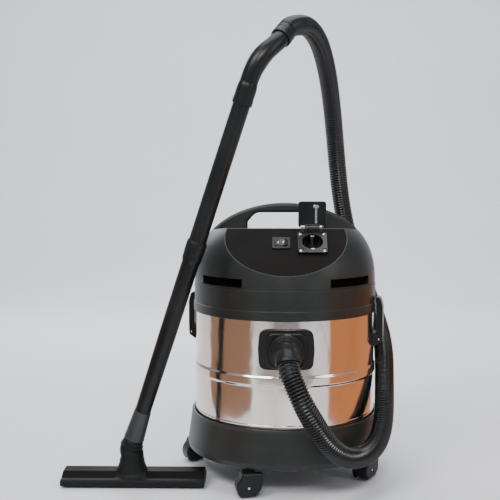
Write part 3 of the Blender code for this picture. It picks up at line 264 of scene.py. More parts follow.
def swept(points, outer, bore=None, segments=32):
    """A tube or bar along a line of points, with its own radii at each point."""
    points = [Vector(p) for p in points]
    spans = [(b - a).normalized() for a, b in zip(points, points[1:])]
    heads = [spans[0]] + [(a + b).normalized() for a, b in zip(spans, spans[1:])] + [spans[-1]]
    side = heads[0].orthogonal().normalized()
    turns = [2 * pi * k / segments for k in range(segments)]
    bm = bmesh.new()
    skins = [[], []]
    for i, (point, head) in enumerate(zip(points, heads)):
        side = (side - head * side.dot(head)).normalized()
        lift = head.cross(side)
        for skin, radii in zip(skins, (outer, bore)):
            if radii is not None:
                skin.append([bm.verts.new(point + radii[i] * (side * cos(t) + lift * sin(t))) for t in turns])
    for skin in skins:
        for first, second in zip(skin, skin[1:]):
            bridge(bm, first, second)
    if bore is None:
        bm.faces.new(skins[0][0])
        bm.faces.new(skins[0][-1])
    else:
        bridge(bm, skins[0][0], skins[1][0])
        bridge(bm, skins[0][-1], skins[1][-1])
    return bm


def straight(start, direction, profile, segments=48):
    """A turned outline laid along a direction from a point."""
    bm = turned(profile, segments)
    bmesh.ops.transform(bm, matrix=Matrix.Translation(start) @ along(direction), verts=bm.verts)
    return bm


def smooth_route(route, count, start, finish):
    """Evenly spaced points on the cubic spline through the route, leaving and arriving along two directions."""
    spots = np.array([tuple(p) for p in route])
    steps = np.linalg.norm(np.diff(spots, axis=0), axis=1)
    places = np.concatenate([[0.0], np.cumsum(steps)])
    size = len(spots)
    system = np.zeros((size, size))
    wanted = np.zeros((size, 3))
    slopes = np.diff(spots, axis=0) / steps[:, None]
    system[0, :2] = 2 * steps[0], steps[0]
    wanted[0] = 6 * (slopes[0] - np.array(start))
    system[-1, -2:] = steps[-1], 2 * steps[-1]
    wanted[-1] = 6 * (np.array(finish) - slopes[-1])
    for i in range(1, size - 1):
        system[i, i - 1:i + 2] = steps[i - 1], 2 * (steps[i - 1] + steps[i]), steps[i]
        wanted[i] = 6 * (slopes[i] - slopes[i - 1])
    bends = np.linalg.solve(system, wanted)
    points = []
    for spot in np.linspace(0.0, places[-1], count):
        i = min(int(np.searchsorted(places, spot, side="right")) - 1, size - 2)
        before = (places[i + 1] - spot) / steps[i]
        after = (spot - places[i]) / steps[i]
        curve = (before ** 3 - before) * bends[i] + (after ** 3 - after) * bends[i + 1]
        points.append(Vector(before * spots[i] + after * spots[i + 1] + curve * steps[i] ** 2 / 6))
    return points


def slice_off(bm, point, normal):
    """Remove what lies past a plane and close the cut."""
    geometry = bm.verts[:] + bm.edges[:] + bm.faces[:]
    bmesh.ops.bisect_plane(bm, geom=geometry, dist=1e-7, plane_co=point, plane_no=normal, clear_outer=True)
    bmesh.ops.holes_fill(bm, edges=[edge for edge in bm.edges if edge.is_boundary], sides=0)
    return bm


def solid(name, bm, matrix=Matrix()):
    """A bmesh as an object, with its place in its mesh and its faces out."""
    bmesh.ops.remove_doubles(bm, verts=bm.verts, dist=1e-7)
    bmesh.ops.recalc_face_normals(bm, faces=bm.faces)
    bmesh.ops.transform(bm, matrix=matrix, verts=bm.verts)
    mesh = bpy.data.meshes.new(name)
    bm.to_mesh(mesh)
    bm.free()
    piece = bpy.data.objects.new(name, mesh)
    bpy.context.scene.collection.objects.link(piece)
    return piece


def settle(piece):
    """Apply the piece's modifiers."""
    bpy.context.view_layer.update()
    made = bpy.data.meshes.new_from_object(piece.evaluated_get(bpy.context.evaluated_depsgraph_get()))
    piece.modifiers.clear()
    old = piece.data
    piece.data = made
    made.name = piece.name
    bpy.data.meshes.remove(old)
    return piece


def carve(piece, bm, matrix=Matrix(), operation="DIFFERENCE"):
    """Cut a solid out of a piece, or join or intersect the two."""
    cutter = solid("cutter", bm, matrix)
    step = piece.modifiers.new("carve", "BOOLEAN")
    step.operation = operation
    step.solver = "EXACT"
    step.object = cutter
    settle(piece)
    bpy.data.objects.remove(cutter, do_unlink=True)
    return piece


def weld(piece, bm, matrix=Matrix()):
    """Join a solid to a piece."""
    return carve(piece, bm, matrix, "UNION")


def round_edges(piece, width, segments=3, angle=35.0):
    """Bevel the piece's sharp edges."""
    step = piece.modifiers.new("round", "BEVEL")
    step.width = width
    step.segments = segments
    step.limit_method = "ANGLE"
    step.angle_limit = radians(angle)
    return settle(piece)


def join(bm, other, matrix=Matrix()):
    """Add one bmesh to another."""
    bmesh.ops.transform(other, matrix=matrix, verts=other.verts)
    mesh = bpy.data.meshes.new("part")
    other.to_mesh(mesh)
    other.free()
    bm.from_mesh(mesh)
    bpy.data.meshes.remove(mesh)
    return bm


def finish_piece(piece, look, body, *nodes, smooth=35.0, place=Matrix()):
    """Place and shade a piece, give it its material, move it out to the tank's centre line and let it ride."""
    mesh = piece.data
    mesh.transform(place)
    mesh.shade_smooth()
    mesh.set_sharp_from_angle(angle=radians(smooth))
    step = piece.modifiers.new("shading", "WEIGHTED_NORMAL")
    step.keep_sharp = True
    settle(piece)
    piece.data.materials.clear()
    piece.data.materials.append(look)
    piece.location = AXIS
    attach(piece, body)
    if nodes:
        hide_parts(*nodes)
    return piece


# ---- materials
class Look:
    """A material in the making, its textures laid out in object coordinates."""

    def __init__(self, name, slot, roughness, metallic=0.0):
        self.material = bpy.data.materials.new(name)
        self.material.use_nodes = True
        self.material["slot"] = slot
        self.tree = self.material.node_tree
        self.shader = self.tree.nodes["Principled BSDF"]
        self.feed(self.shader, Roughness=roughness, Metallic=metallic)
        self.coordinates = self.add("TexCoord", "Object")

    def feed(self, node, **inputs):
        """Set a node's inputs, or link those given a socket; an underscore stands for a space."""
        for name, value in inputs.items():
            socket = node.inputs[name.replace("_", " ")]
            if isinstance(value, bpy.types.NodeSocket):
                self.tree.links.new(value, socket)
            else:
                socket.default_value = value

    def add(self, kind, output, **inputs):
        """Add a node and give back one of its outputs."""
        node = self.tree.nodes.new("ShaderNode" + kind)
        self.feed(node, **inputs)
        return node.outputs[output]

    def noise(self, scale, detail=2.0, stretch=(1.0, 1.0, 1.0), distortion=0.0):
        """The value of a noise texture, stretched along the axes."""
        vector = self.add("Mapping", "Vector", Scale=stretch, Vector=self.coordinates)
        return self.add("TexNoise", "Fac", Scale=scale, Detail=detail, Distortion=distortion, Vector=vector)

    def colour(self, value, *stops):
        """Colour the surface along a value: (place, colour) pairs."""
        output = self.add("ValToRGB", "Color", Fac=value)
        elements = output.node.color_ramp.elements
        while len(elements) < len(stops):
            elements.new(0.5)
        for element, (place, colour) in zip(elements, stops):
            element.position = place
            element.color = (*colour, 1.0)
        self.feed(self.shader, Base_Color=output)

    def gloss(self, value, low, high):
        """Let the roughness follow a value, of which 0.3 to 0.7 is used."""
        ranged = self.add(
            "MapRange", "Result", From_Min=0.3, From_Max=0.7, To_Min=low, To_Max=high, Value=value)
        self.feed(self.shader, Roughness=ranged)

    def bumps(self, *layers):
        """Stack bump layers of (value, strength, distance)."""
        below = {}
        for value, strength, distance in layers:
            below = {"Normal": self.add(
                "Bump", "Normal", Strength=strength, Distance=distance, Height=value, **below)}
        self.feed(self.shader, **below)


def moulded(name, dark, light, roughness, grain, depth, specular, coat=0.0, slot=None):
    """Injection-moulded plastic: fine grain, uneven gloss and faint cloudy colour."""
    look = Look(name, slot or name, roughness)
    clouds = look.noise(11.0, 5.0, distortion=0.6)
    mixed = look.add("Math", "Value").node
    mixed.operation = "MULTIPLY_ADD"
    mixed.inputs[1].default_value = 0.3
    look.tree.links.new(look.noise(420.0), mixed.inputs[0])
    look.tree.links.new(clouds, mixed.inputs[2])
    look.colour(mixed.outputs[0], (0.35, dark), (0.95, light))
    look.gloss(clouds, roughness * 0.86, roughness * 1.16)
    look.bumps((look.noise(grain, 3.0), 0.5, depth))
    look.feed(look.shader, Specular_IOR_Level=specular, Coat_Weight=coat, Coat_Roughness=0.12)
    return look.material


def polished_steel(name):
    """Mirror-rolled stainless sheet: faint round brushing, slow waves, and warm upright patches of painted
    reflection in its colour.
    """
    look = Look(name, name, 0.12, 1.0)
    # Painted reflection: the colour ramp lays warm orange and pink patches, darker in places, in upright bands over
    # the steel, standing in for reflected surroundings.
    look.colour(look.noise(5.0, 3.0, (1.0, 1.0, 0.45), 0.8), (0.3, (0.6, 0.5, 0.44)),
                (0.45, (0.74, 0.67, 0.62)), (0.58, (0.8, 0.77, 0.75)), (0.72, (0.8, 0.68, 0.69)))
    brushing = look.noise(60.0, 4.0, (1.0, 1.0, 40.0))
    look.gloss(brushing, 0.07, 0.17)
    waves = look.noise(9.0, 2.5, (1.0, 1.0, 0.6), 0.6)
    look.bumps((brushing, 0.1, 0.00006), (waves, 0.5, 0.006))
    look.feed(look.shader, Anisotropic=0.35)
    return look.material


def bare_metal(name, colour, roughness):
    """Small turned or pressed metal pieces."""
    look = Look(name, name, roughness, 1.0)
    scratches = look.noise(260.0, 4.0)
    look.colour(scratches, (0.3, tuple(0.72 * c for c in colour)), (0.65, colour))
    look.gloss(scratches, roughness * 0.7, roughness * 1.4)
    look.bumps((scratches, 0.25, 0.00005))
    return look.material


def soft_rubber(name, colour, roughness):
    """Matte rubber with a dusty bloom."""
    look = Look(name, name, roughness)
    bloom = look.noise(35.0, 6.0, distortion=0.5)
    look.colour(bloom, (0.35, colour), (0.75, tuple(1.9 * c + 0.006 for c in colour)))
    look.gloss(bloom, roughness * 0.9, roughness * 1.1)
    look.bumps((look.noise(900.0, 3.0), 0.4, 0.00006))
    return look.material


def cells(name, dark, light, scale, depth):
    """Open-cell foam: small cells with dark pores."""
    look = Look(name, name, 0.9)
    near = look.add("TexVoronoi", "Distance", Scale=scale, Vector=look.coordinates)
    look.colour(near, (0.05, dark), (0.55, light))
    look.bumps((near, 0.8, depth))
    return look.material


def striped(name, dark, light, scale, axis, metallic, roughness):
    """Wound wire or packed hair: fine lines across one axis."""
    look = Look(name, name, roughness, metallic)
    lines = look.add("TexWave", "Fac", Scale=scale, Distortion=1.5, Detail=2.0, Vector=look.coordinates)
    lines.node.bands_direction = axis
    look.colour(lines, (0.1, dark), (0.9, light))
    look.bumps((lines, 0.5, 0.0002))
    return look.material


def painted_mark(name, slot):
    """Pad-printed white."""
    look = Look(name, slot, 0.5)
    patches = look.noise(700.0, 3.0)
    look.colour(patches, (0.3, (0.62, 0.63, 0.64)), (0.6, (0.86, 0.87, 0.88)))
    look.bumps((patches, 0.2, 0.00003))
    return look.material


SATIN = moulded("satin_plastic", (0.008, 0.009, 0.0086), (0.02, 0.022, 0.0208), 0.38, 1700.0, 0.00006, 0.42)
PANEL = moulded(
    "panel_plastic", (0.0036, 0.0029, 0.0025), (0.0062, 0.0051, 0.0044), 0.46, 2400.0, 0.00002, 0.07)
BLACK = moulded("black_plastic", (0.004, 0.0044, 0.0044), (0.011, 0.012, 0.012), 0.34, 1900.0, 0.00004, 0.3)
GLOSS = moulded(
    "gloss_plastic", (0.0035, 0.0036, 0.0038), (0.008, 0.0084, 0.0088), 0.22, 900.0, 0.00002, 0.35, 0.15,
    "black_plastic")
GREY = moulded(
    "grey_black_plastic", (0.006, 0.0068, 0.0068), (0.015, 0.0165, 0.0165), 0.46, 1700.0, 0.00006, 0.12,
    slot="black_plastic")
SLEEVE = moulded(
    "slate_plastic", (0.022, 0.026, 0.028), (0.04, 0.046, 0.048), 0.38, 1900.0, 0.00004, 0.4,
    slot="black_plastic")
HOSE = moulded("hose_plastic", (0.003, 0.0037, 0.0041), (0.007, 0.0084, 0.009), 0.24, 1300.0, 0.00003, 0.42)
STEEL = polished_steel("polished_steel")
BRIGHT = bare_metal("bright_steel", (0.78, 0.78, 0.79), 0.2)
ALUMINIUM = bare_metal("impeller_metal", (0.76, 0.76, 0.78), 0.34)
IRON = striped("motor_iron", (0.2, 0.09, 0.04), (0.55, 0.28, 0.12), 60.0, "Z", 0.8, 0.4)
RUBBER = soft_rubber("black_rubber", (0.012, 0.012, 0.012), 0.72)
TYRE = soft_rubber("caster_tyre", (0.02, 0.021, 0.022), 0.55)
FOAM = cells("filter_foam", (0.02, 0.02, 0.022), (0.1, 0.1, 0.105), 420.0, 0.0008)
HAIR = striped("brush_hair", (0.008, 0.008, 0.008), (0.05, 0.048, 0.045), 130.0, "X", 0.0, 0.7)
MARK = painted_mark("white_mark", "black_plastic")
CARRIED = {look["slot"]: look for look in (
    SATIN, PANEL, BLACK, STEEL, BRIGHT, ALUMINIUM, IRON, RUBBER, TYRE, HOSE, FOAM, HAIR)}


# ---- camera, floor and light
def camera():
    """The camera, at the height of the carry handle and a little to the left."""
    data = bpy.data.cameras.new("camera")
    data.lens = LENS
    eye = bpy.data.objects.new("camera", data)
    eye.location = EYE
    eye.rotation_euler = EYE_TURN
    bpy.context.scene.collection.objects.link(eye)
    bpy.context.scene.camera = eye


def plain_look(name, colour, roughness):
    """A matte studio surface with a faint mottle."""
    look = Look(name, "stage", roughness)
    look.colour(look.noise(3.0), (0.3, tuple(0.97 * c for c in colour)), (0.7, colour))
    return look.material


def studio():
    """Pale floor, warm and pale reflectors outside the picture, and soft lights."""
    far, rise, side, high, drop = 2.2, 1.3, 7.0, 5.0, 0.0002
    curve = [(far + rise * sin(a), rise * (1 - cos(a)) - drop) for a in np.linspace(0.0, pi / 2, 33)]
    wall = far + rise
    section = [(-6.0, -drop)] + curve + [(wall, high), (wall + 0.05, high), (wall + 0.05, -0.1), (-6.0, -0.1)]
    floor = solid("floor", prism(section, -side, side, "X"))
    floor.data.shade_smooth()
    floor.data.set_sharp_from_angle(angle=radians(30))
    floor.data.materials.append(plain_look("pale_floor", (0.8, 0.81, 0.84), 0.7))
    slanted = [(-0.32, -0.56), (-0.33, -0.57), (-0.61, 0.1), (-0.6, 0.1)]
    cards = [
        ("reflector_right", (0.62, 0.22, 0.07), rectangle(0.01, 0.86, (0.6, 0.0)), 0.0, 0.36),
        ("reflector_left", (0.36, 0.19, 0.11), slanted, 0.0, 0.36),
        ("mat", (0.24, 0.21, 0.21), rectangle(1.3, 1.9, (0.1, -1.86)), 0.001, 0.003),
    ]
    for name, colour, outline, bottom, top in cards:
        card = solid(name, prism(outline, bottom, top))
        card.data.materials.append(plain_look(name, colour, 0.8))
        card.visible_camera = card.visible_diffuse = card.visible_shadow = False

    def softbox(name, place, target, size, power, colour):
        """A rectangular lamp that looks at its target and isn't seen itself."""
        data = bpy.data.lights.new(name, "AREA")
        data.shape = "RECTANGLE"
        data.size, data.size_y = size
        data.energy = power
        data.color = colour
        lamp = bpy.data.objects.new(name, data)
        lamp.location = place
        lamp.rotation_euler = (Vector(target) - Vector(place)).to_track_quat("-Z", "Y").to_euler()
        lamp.visible_camera = False
        bpy.context.scene.collection.objects.link(lamp)

    softbox("key", (-1.0, -1.5, 2.0), (0.1, 0.0, 0.3), (1.2, 0.9), 34.0, (1.0, 0.98, 0.96))
    softbox("front", (0.25, -2.3, 1.75), (0.1, 0.0, 0.35), (0.9, 0.5), 30.0, (1.0, 0.99, 0.98))
    softbox("fill", (1.9, -1.2, 1.2), (0.1, 0.0, 0.3), (0.6, 1.4), 9.0, (1.0, 0.97, 0.94))
    softbox("top", (0.1, 0.2, 2.6), (0.1, 0.0, 0.0), (1.8, 1.8), 34.0, (0.97, 0.98, 1.0))
    softbox("rim", (-0.9, 1.9, 1.5), (0.1, 0.0, 0.35), (1.4, 0.9), 14.0, (0.96, 0.98, 1.0))
    softbox("backdrop", (0.0, 1.5, 1.9), (0.0, 2.9, 0.2), (4.4, 0.8), 62.0, (0.97, 0.98, 1.0))
    world = bpy.data.worlds.new("world")
    world.use_nodes = True
    sky = world.node_tree.nodes["Background"]
    sky.inputs["Color"].default_value = (0.86, 0.88, 0.93, 1.0)
    sky.inputs["Strength"].default_value = 0.42
    bpy.context.scene.world = world


# ---- hose, cuffs, wand and nozzle
def hose():
    """Corrugated suction hose: deep ribs at the inlet, shallower where it is stretched over the top."""
    first, last = Vector(HOSE_ROUTE[0]), Vector(HOSE_ROUTE[-1])
    free = [first + HOSE_START * HOSE_LEAD] + HOSE_ROUTE[1:-1] + [last - HOSE_FINISH * HOSE_LEAD]
    curve = smooth_route(free, ROUTE_STEPS, HOSE_START, HOSE_FINISH)
    route = np.array([tuple(p) for p in [first] + curve + [last]])
    run = np.concatenate([[0.0], np.cumsum(np.linalg.norm(np.diff(route, axis=0), axis=1))])
    length = float(run[-1])
    places = np.linspace(0.0, length, RIB_STEPS * round(length / RIB_PITCH) + 1)
    line = [Vector(p) for p in zip(*(np.interp(places, run, route[:, axis]).tolist() for axis in range(3)))]
    radii = []
    for place in places.tolist():
        stretched = min(max((place - STRETCH_START) / STRETCH_SPAN, 0.0), 1.0)
        depth = RIB_DEPTH - RIB_LOSS * stretched * stretched * (3 - 2 * stretched)
        crest = 0.5 + 0.5 * cos(2 * pi * (len(places) - 1) / RIB_STEPS * place / length)
        radii.append(HOSE_DIAMETER / 2 - depth * (1.0 - crest ** 0.75))
    radii[0] = radii[-1] = HOSE_DIAMETER / 2 * 0.8
    tube = finish_piece(
        solid("suction_hose", swept(line, radii, segments=32)), HOSE, "root", "hose", smooth=75.0)


def hose_cuffs():
    """Elbow cuff in the inlet and straight cuff on the handle, each with grip rings."""
    face = TANK_RADIUS + 0.038
    outlet = Vector(HOSE_ROUTE[0]) - HOSE_START * GAP
    route = [
        (0.0, -face - 0.0012, INLET_Z), (0.0, -face - 0.017, INLET_Z - 0.0012), outlet - HOSE_START * 0.006,
        outlet]
    bend = smooth_route(route, 40, (0.0, -1.0, 0.0), HOSE_START)
    line = [(0.0, -face + 0.014, INLET_Z), (0.0, -face - 0.0004, INLET_Z)] + bend
    spigot = INLET_BORE - FIT
    radii = [spigot, spigot]
    for step in range(len(bend)):
        t = step / (len(bend) - 1)
        swell = 0.002 * exp(-(t / 0.12) ** 2) + 0.001 * exp(-((t - 0.94) / 0.05) ** 2)
        radii.append(0.0221 + swell - 0.0009 * t)
    radii[2] = radii[3] - 0.0008
    cuff = solid("inlet_cuff", swept(line, radii, [0.0165] * len(line), 48))
    finish_piece(cuff, BLACK, "root", "hose_cuff_inlet", smooth=40.0)

    hose_end = Vector(HOSE_ROUTE[-1]) + HOSE_FINISH * GAP
    bore = WAND_RADIUS + FIT
    wide = bore + 0.0028
    length = 0.023
    profile = [
        (bore, 0.0), (wide - 0.0002, 0.0), (wide - 0.0002, 0.0065), (wide - 0.0014, 0.008), (wide, 0.0095),
        (wide, length - 0.002), (wide - 0.0012, length), (bore, length)]
    cuff = solid("handle_cuff", straight(hose_end, HOSE_FINISH, filleted(profile, 0.0007, 3)))
    finish_piece(cuff, BLACK, "root", "hose_cuff_handle")


def wand_point(height):
    """Centre of the wand at a height above the floor."""
    low, high = WAND_ENDS
    return low + (high - low) * ((height - low.z) / (high.z - low.z))


WAND_ENDS = (
    Vector((-(TANK_RADIUS + WAND_OUT), -(TANK_RADIUS - WAND_BACK), 0.0)),
    Vector((-(TANK_RADIUS + WAND_OUT) + 0.3315, -(TANK_RADIUS - WAND_BACK) - 0.1, 1.0)))


def wands():
    """Two push-fit wand tubes and the bent handle tube above them."""
    rise = (WAND_ENDS[1] - WAND_ENDS[0]).normalized()
    start = wand_point(WAND_FOOT)
    length = (wand_point(WAND_JOINT + OVERLAP) - start).length
    seat = length - OVERLAP
    slim = WAND_RADIUS - 0.0011
    profile = [
        (WAND_BORE, 0.0), (WAND_RADIUS, 0.0), (WAND_RADIUS, 0.01), (slim, 0.014), (slim, 0.08),
        (WAND_RADIUS, 0.6 * seat), (WAND_RADIUS, seat - 0.012), (SOCKET_WIDE - 0.0004, seat - 0.004),
        (SOCKET_WIDE - 0.0004, seat + 0.006), (SOCKET_WIDE, seat + 0.008), (SOCKET_WIDE, length - 0.004),
        (SOCKET_WIDE - 0.001, length), (WAND_RADIUS + FIT, length), (WAND_RADIUS + FIT, seat),
        (WAND_BORE, seat)]
    lower = solid("wand_tube_lower", straight(start, rise, filleted(profile, 0.0012, 3)))
    finish_piece(lower, BLACK, "root", "wand_lower")
    sleeve = [
        (slim + 0.0001, 0.016), (WAND_RADIUS + 0.0001, 0.009), (0.018, 0.009, 0.0006), (0.019, 0.0102, 0.0008),
        (0.019, 0.0125, 0.001), (0.0185, 0.015, 0.001), (0.0158, 0.06, 0.002), (0.0158, 0.064, 0.001),
        (0.0152, 0.0655, 0.0006), (slim + 0.0001, 0.0655)]
    finish_piece(solid("wand_adapter", straight(start, rise, filleted(sleeve, 0.0, 4), 64)), SLEEVE, "root")

    start = wand_point(WAND_JOINT + 0.002)
    length = (wand_point(WAND_TOP) - start).length
    profile = [
        (WAND_BORE, 0.0), (WAND_RADIUS - 0.0006, 0.0), (WAND_RADIUS, 0.001), (WAND_RADIUS, length - 0.001),
        (WAND_RADIUS - 0.0006, length), (WAND_BORE, length)]
    upper = solid("wand_tube_upper", straight(start, rise, profile))
    finish_piece(upper, BLACK, "root", "wand_upper")

    mouth, seat = wand_point(WAND_TOP - OVERLAP), wand_point(WAND_TOP + 0.001)
    end = Vector(HOSE_ROUTE[-1]) + HOSE_FINISH * (GAP + 0.01)
    knee = [
        seat + rise * 0.008, wand_point(WAND_TOP) + Vector((0.031, 0.0005, 0.058)), end + HOSE_FINISH * 0.016]
    bend = smooth_route(knee, 36, rise, -HOSE_FINISH)
    line = [mouth, mouth + rise * 0.0008, mouth + rise * 0.01, mouth + rise * 0.012, mouth + rise * 0.027, seat,
            seat + rise * 0.003, seat + rise * 0.0055] + bend + [end]
    outer = [
        SOCKET_WIDE - 0.0006, SOCKET_WIDE, SOCKET_WIDE, SOCKET_WIDE - 0.0005, SOCKET_WIDE - 0.0004,
        SOCKET_WIDE - 0.0008, WAND_RADIUS + 0.0012, WAND_RADIUS + 0.0004]
    for step in range(len(bend)):
        t = step / (len(bend) - 1)
        outer.append(WAND_RADIUS + 0.0004 + 0.0014 * sin(pi * min(t * 1.15, 1.0)) ** 2 - 0.0004 * t)
    outer.append(WAND_RADIUS)
    bore = [WAND_RADIUS + FIT] * 5 + [WAND_RADIUS + FIT, WAND_BORE, WAND_BORE] + [WAND_BORE] * (len(bend) + 1)
    handle = solid("wand_handle", swept(line, outer, bore, 48))
    finish_piece(handle, BLACK, "root", "handle_tube")


def floor_nozzle():
    """Wide floor nozzle: a lip and a flared neck in one piece, smooth top plates and brush hair."""
    foot = wand_point(WAND_FOOT)
    centre = Vector((foot.x + 0.0017, foot.y + 0.007, 0.0))
    rise = (WAND_ENDS[1] - WAND_ENDS[0]).normalized()
    half, front, back, low, top = 0.1325, -0.034, 0.034, 0.004, 0.027
    frame_line = [
        (front, low), (front, low + 0.0092, 0.0015), (front + 0.003, low + 0.0118, 0.002),
        (front + 0.008, low + 0.012, 0.002), (front + 0.012, low + 0.0128), (back - 0.001, low + 0.0128, 0.002),
        (back, low + 0.01, 0.002), (back, low)]
    body = solid("floor_nozzle", rounded_bar(filleted(frame_line, steps=4), -half, half, 0.003))
    bell = [(0.0, 0.008), (0.056, 0.008), (0.052, 0.015, 0.004), (0.038, 0.019, 0.01), (0.031, 0.024, 0.01),
            (0.0268, 0.031, 0.012), (0.0236, 0.04, 0.012), (0.0222, 0.049), (0.0, 0.049)]
    side = Vector((-0.004, 0.0, 0.0))

    def squeeze(turn, height):
        """The bell is shallower than it is wide at its foot, and round at its top."""
        depth = 0.6 + 0.4 * min(max((height - 0.012) / 0.026, 0.0), 1.0)
        return 1.0 / hypot(cos(turn), sin(turn) / depth)

    weld(body, turned(filleted(bell, 0.0, 5, closed=False), 96, squeeze), Matrix.Translation(side))
    local = foot - centre
    knee = [
        side + Vector((0.0, 0.0, 0.036)), side + Vector((0.0002, -0.0012, 0.046)),
        side + Vector((0.0008, -0.004, 0.058)), local - rise * 0.0095]
    line = smooth_route(knee, 14, (0.0, 0.0, 1.0), rise)
    widths = np.interp(np.linspace(0.0, 1.0, 14), [0.0, 0.4, 1.0], [0.0228, 0.0214, 0.0205]).tolist()
    climb = [
        (-0.008, 0.0194), (-0.0068, 0.0194), (-0.0058, 0.0212), (-0.0022, 0.0212), (-0.0012, 0.0192),
        (0.006, 0.0188), (0.0072, 0.0178), (0.0082, 0.0172)]
    line += [local + rise * along_rise for along_rise, radius in climb]
    widths += [radius for along_rise, radius in climb]
    weld(body, swept(line, widths, segments=64))
    airway = [Vector((0.0, 0.0, -0.006)), Vector((0.0, 0.0, 0.028)), local - rise * 0.02, local - rise * 0.01,
              local - rise * 0.002, local - rise * 0.0015, local + rise * 0.026]
    carve(body, swept(
        airway, [0.015, 0.015, 0.0138, 0.0138, 0.0138, WAND_RADIUS + FIT, WAND_RADIUS + FIT], segments=48))
    carve(body, prism(rectangle(0.236, 0.052), low - 0.01, low + 0.01))
    finish_piece(body, GREY, "root", "nozzle_body", smooth=32.0, place=Matrix.Translation(centre))

    cover_line = [
        (front + 0.0082, low + 0.0105), (front + 0.0245, top - 0.0012, 0.004), (back - 0.018, top, 0.008),
        (back - 0.003, top - 0.008, 0.004), (back - 0.0012, low + 0.0105)]
    shell = solid(
        "nozzle_cover", rounded_bar(filleted(cover_line, steps=5), -half + 0.0012, half - 0.0012, 0.0022))
    carve(shell, disc(0.022, 0.0, 0.05, 48), Matrix.Translation(side))
    finish_piece(shell, PANEL, "root", smooth=32.0, place=Matrix.Translation(centre))

    draw = random.Random(7)
    tufts = 110
    for name, node in (("brush_strip_front", "brush_front"), ("brush_strip_rear", "brush_rear")):
        corner_low, corner_high = (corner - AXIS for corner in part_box(node))
        across, deep = corner_high.x - corner_low.x, corner_high.y - corner_low.y
        middle = ((corner_low.x + corner_high.x) / 2, (corner_low.y + corner_high.y) / 2)
        strip = prism(rectangle(across, deep, middle), corner_high.z - 0.0012, corner_high.z)
        for number in range(tufts):
            x = corner_low.x + across * (number + 0.5) / tufts
            for row in range(2):
                y = corner_low.y + deep * (0.3 + 0.4 * row)
                lean = Vector((draw.uniform(-0.0006, 0.0006), draw.uniform(-0.0008, 0.0008), 0.0))
                head = Vector((x, y, corner_high.z - 0.001))
                tip = Vector((x, y, draw.uniform(0.0003, 0.0007))) + lean
                tuft = swept([head, (head + tip) / 2, tip], [0.00085, 0.001, 0.0007], segments=6)
                join(strip, tuft)
        finish_piece(solid(name, strip), HAIR, "root", node)


# ---- tank, base and casters
def tank():
    """Drawn tank with its raised bead, a hem above the base and a rolled rim."""
    low, high, out = TANK_BOTTOM, TANK_TOP, TANK_RADIUS
    bead = low + 0.132
    hem = base_high.z + 0.0022
    profile = [
        (0.0, low), (out, low, 0.007), (out, hem, 0.0012), (out + 0.0009, hem + 0.001),
        (out + 0.0009, hem + 0.0036), (out, hem + 0.0046, 0.0012), (out, bead, 0.004),
        (out + BEAD_RISE, bead + 0.004, 0.004), (out + BEAD_RISE, bead + 0.017, 0.004),
        (out, bead + 0.021, 0.004), (out, high, 0.0022), (out - 0.005, high, 0.0022),
        (out - 0.005, high - 0.0045), (out - TANK_WALL, high - 0.006),
        (out - TANK_WALL, low + TANK_WALL, 0.006), (0.0, low + TANK_WALL)]
    shell = solid("steel_tank", turned(filleted(profile, steps=6, closed=False), 180))
    carve(shell, disc(INLET_BORE + 0.003, 0.0, out + 0.02, 48), shift(0.0, 0.0, INLET_Z) @ X_TURN)
    finish_piece(shell, STEEL, "root", "tank", smooth=30.0)


def base_tray():
    """Flared skirt with a rolled top edge, and swivel bosses and ring grooves under its floor."""
    low, top = base_low.z, base_high.z
    inner = TANK_RADIUS + 0.001
    outer = inner + 0.0065
    flare = outer + 0.0085
    ledge = low + 0.0165
    profile = [
        (0.0, low), (outer - 0.004, low, 0.002), (flare - 0.002, low + 0.0035, 0.004),
        (flare, low + 0.013, 0.006), (outer + 0.0006, top - 0.006, 0.003), (outer + 0.0006, top, 0.0022),
        (inner + 0.0012, top, 0.0015), (inner, top - 0.004), (inner, ledge), (inner - 0.024, ledge),
        (inner - 0.028, low + 0.004), (0.0, low + 0.004)]
    tray = solid("base_skirt", turned(filleted(profile, steps=5, closed=False), 160))
    for number in range(4):
        stem = stem_place(number)
        weld(tray, disc(0.0115, low - 0.0015, low + 0.002, 40, edge=0.0006), shift(*stem, 0.0))
        carve(tray, disc(0.0044, low - 0.01, 0.0588, 24), shift(*stem, 0.0))
    for ring_radius in (0.045, 0.085, 0.125):
        carve(tray, disc(ring_radius + 0.0012, low - 0.001, low + 0.0012, 96, bore=ring_radius - 0.0012))
    finish_piece(tray, SATIN, "root", "base_tray", smooth=30.0)


def joint_place(name):
    """A joint's point, from the tank's centre line."""
    joint = next(j for j in frame["joints"] if j["name"] == name)
    return Vector(joint["pos_m"]) - AXIS


def stem_place(number):
    """Where a caster's stem stands."""
    return tuple(joint_place(f"caster_{number + 1}_swivel"))[:2]


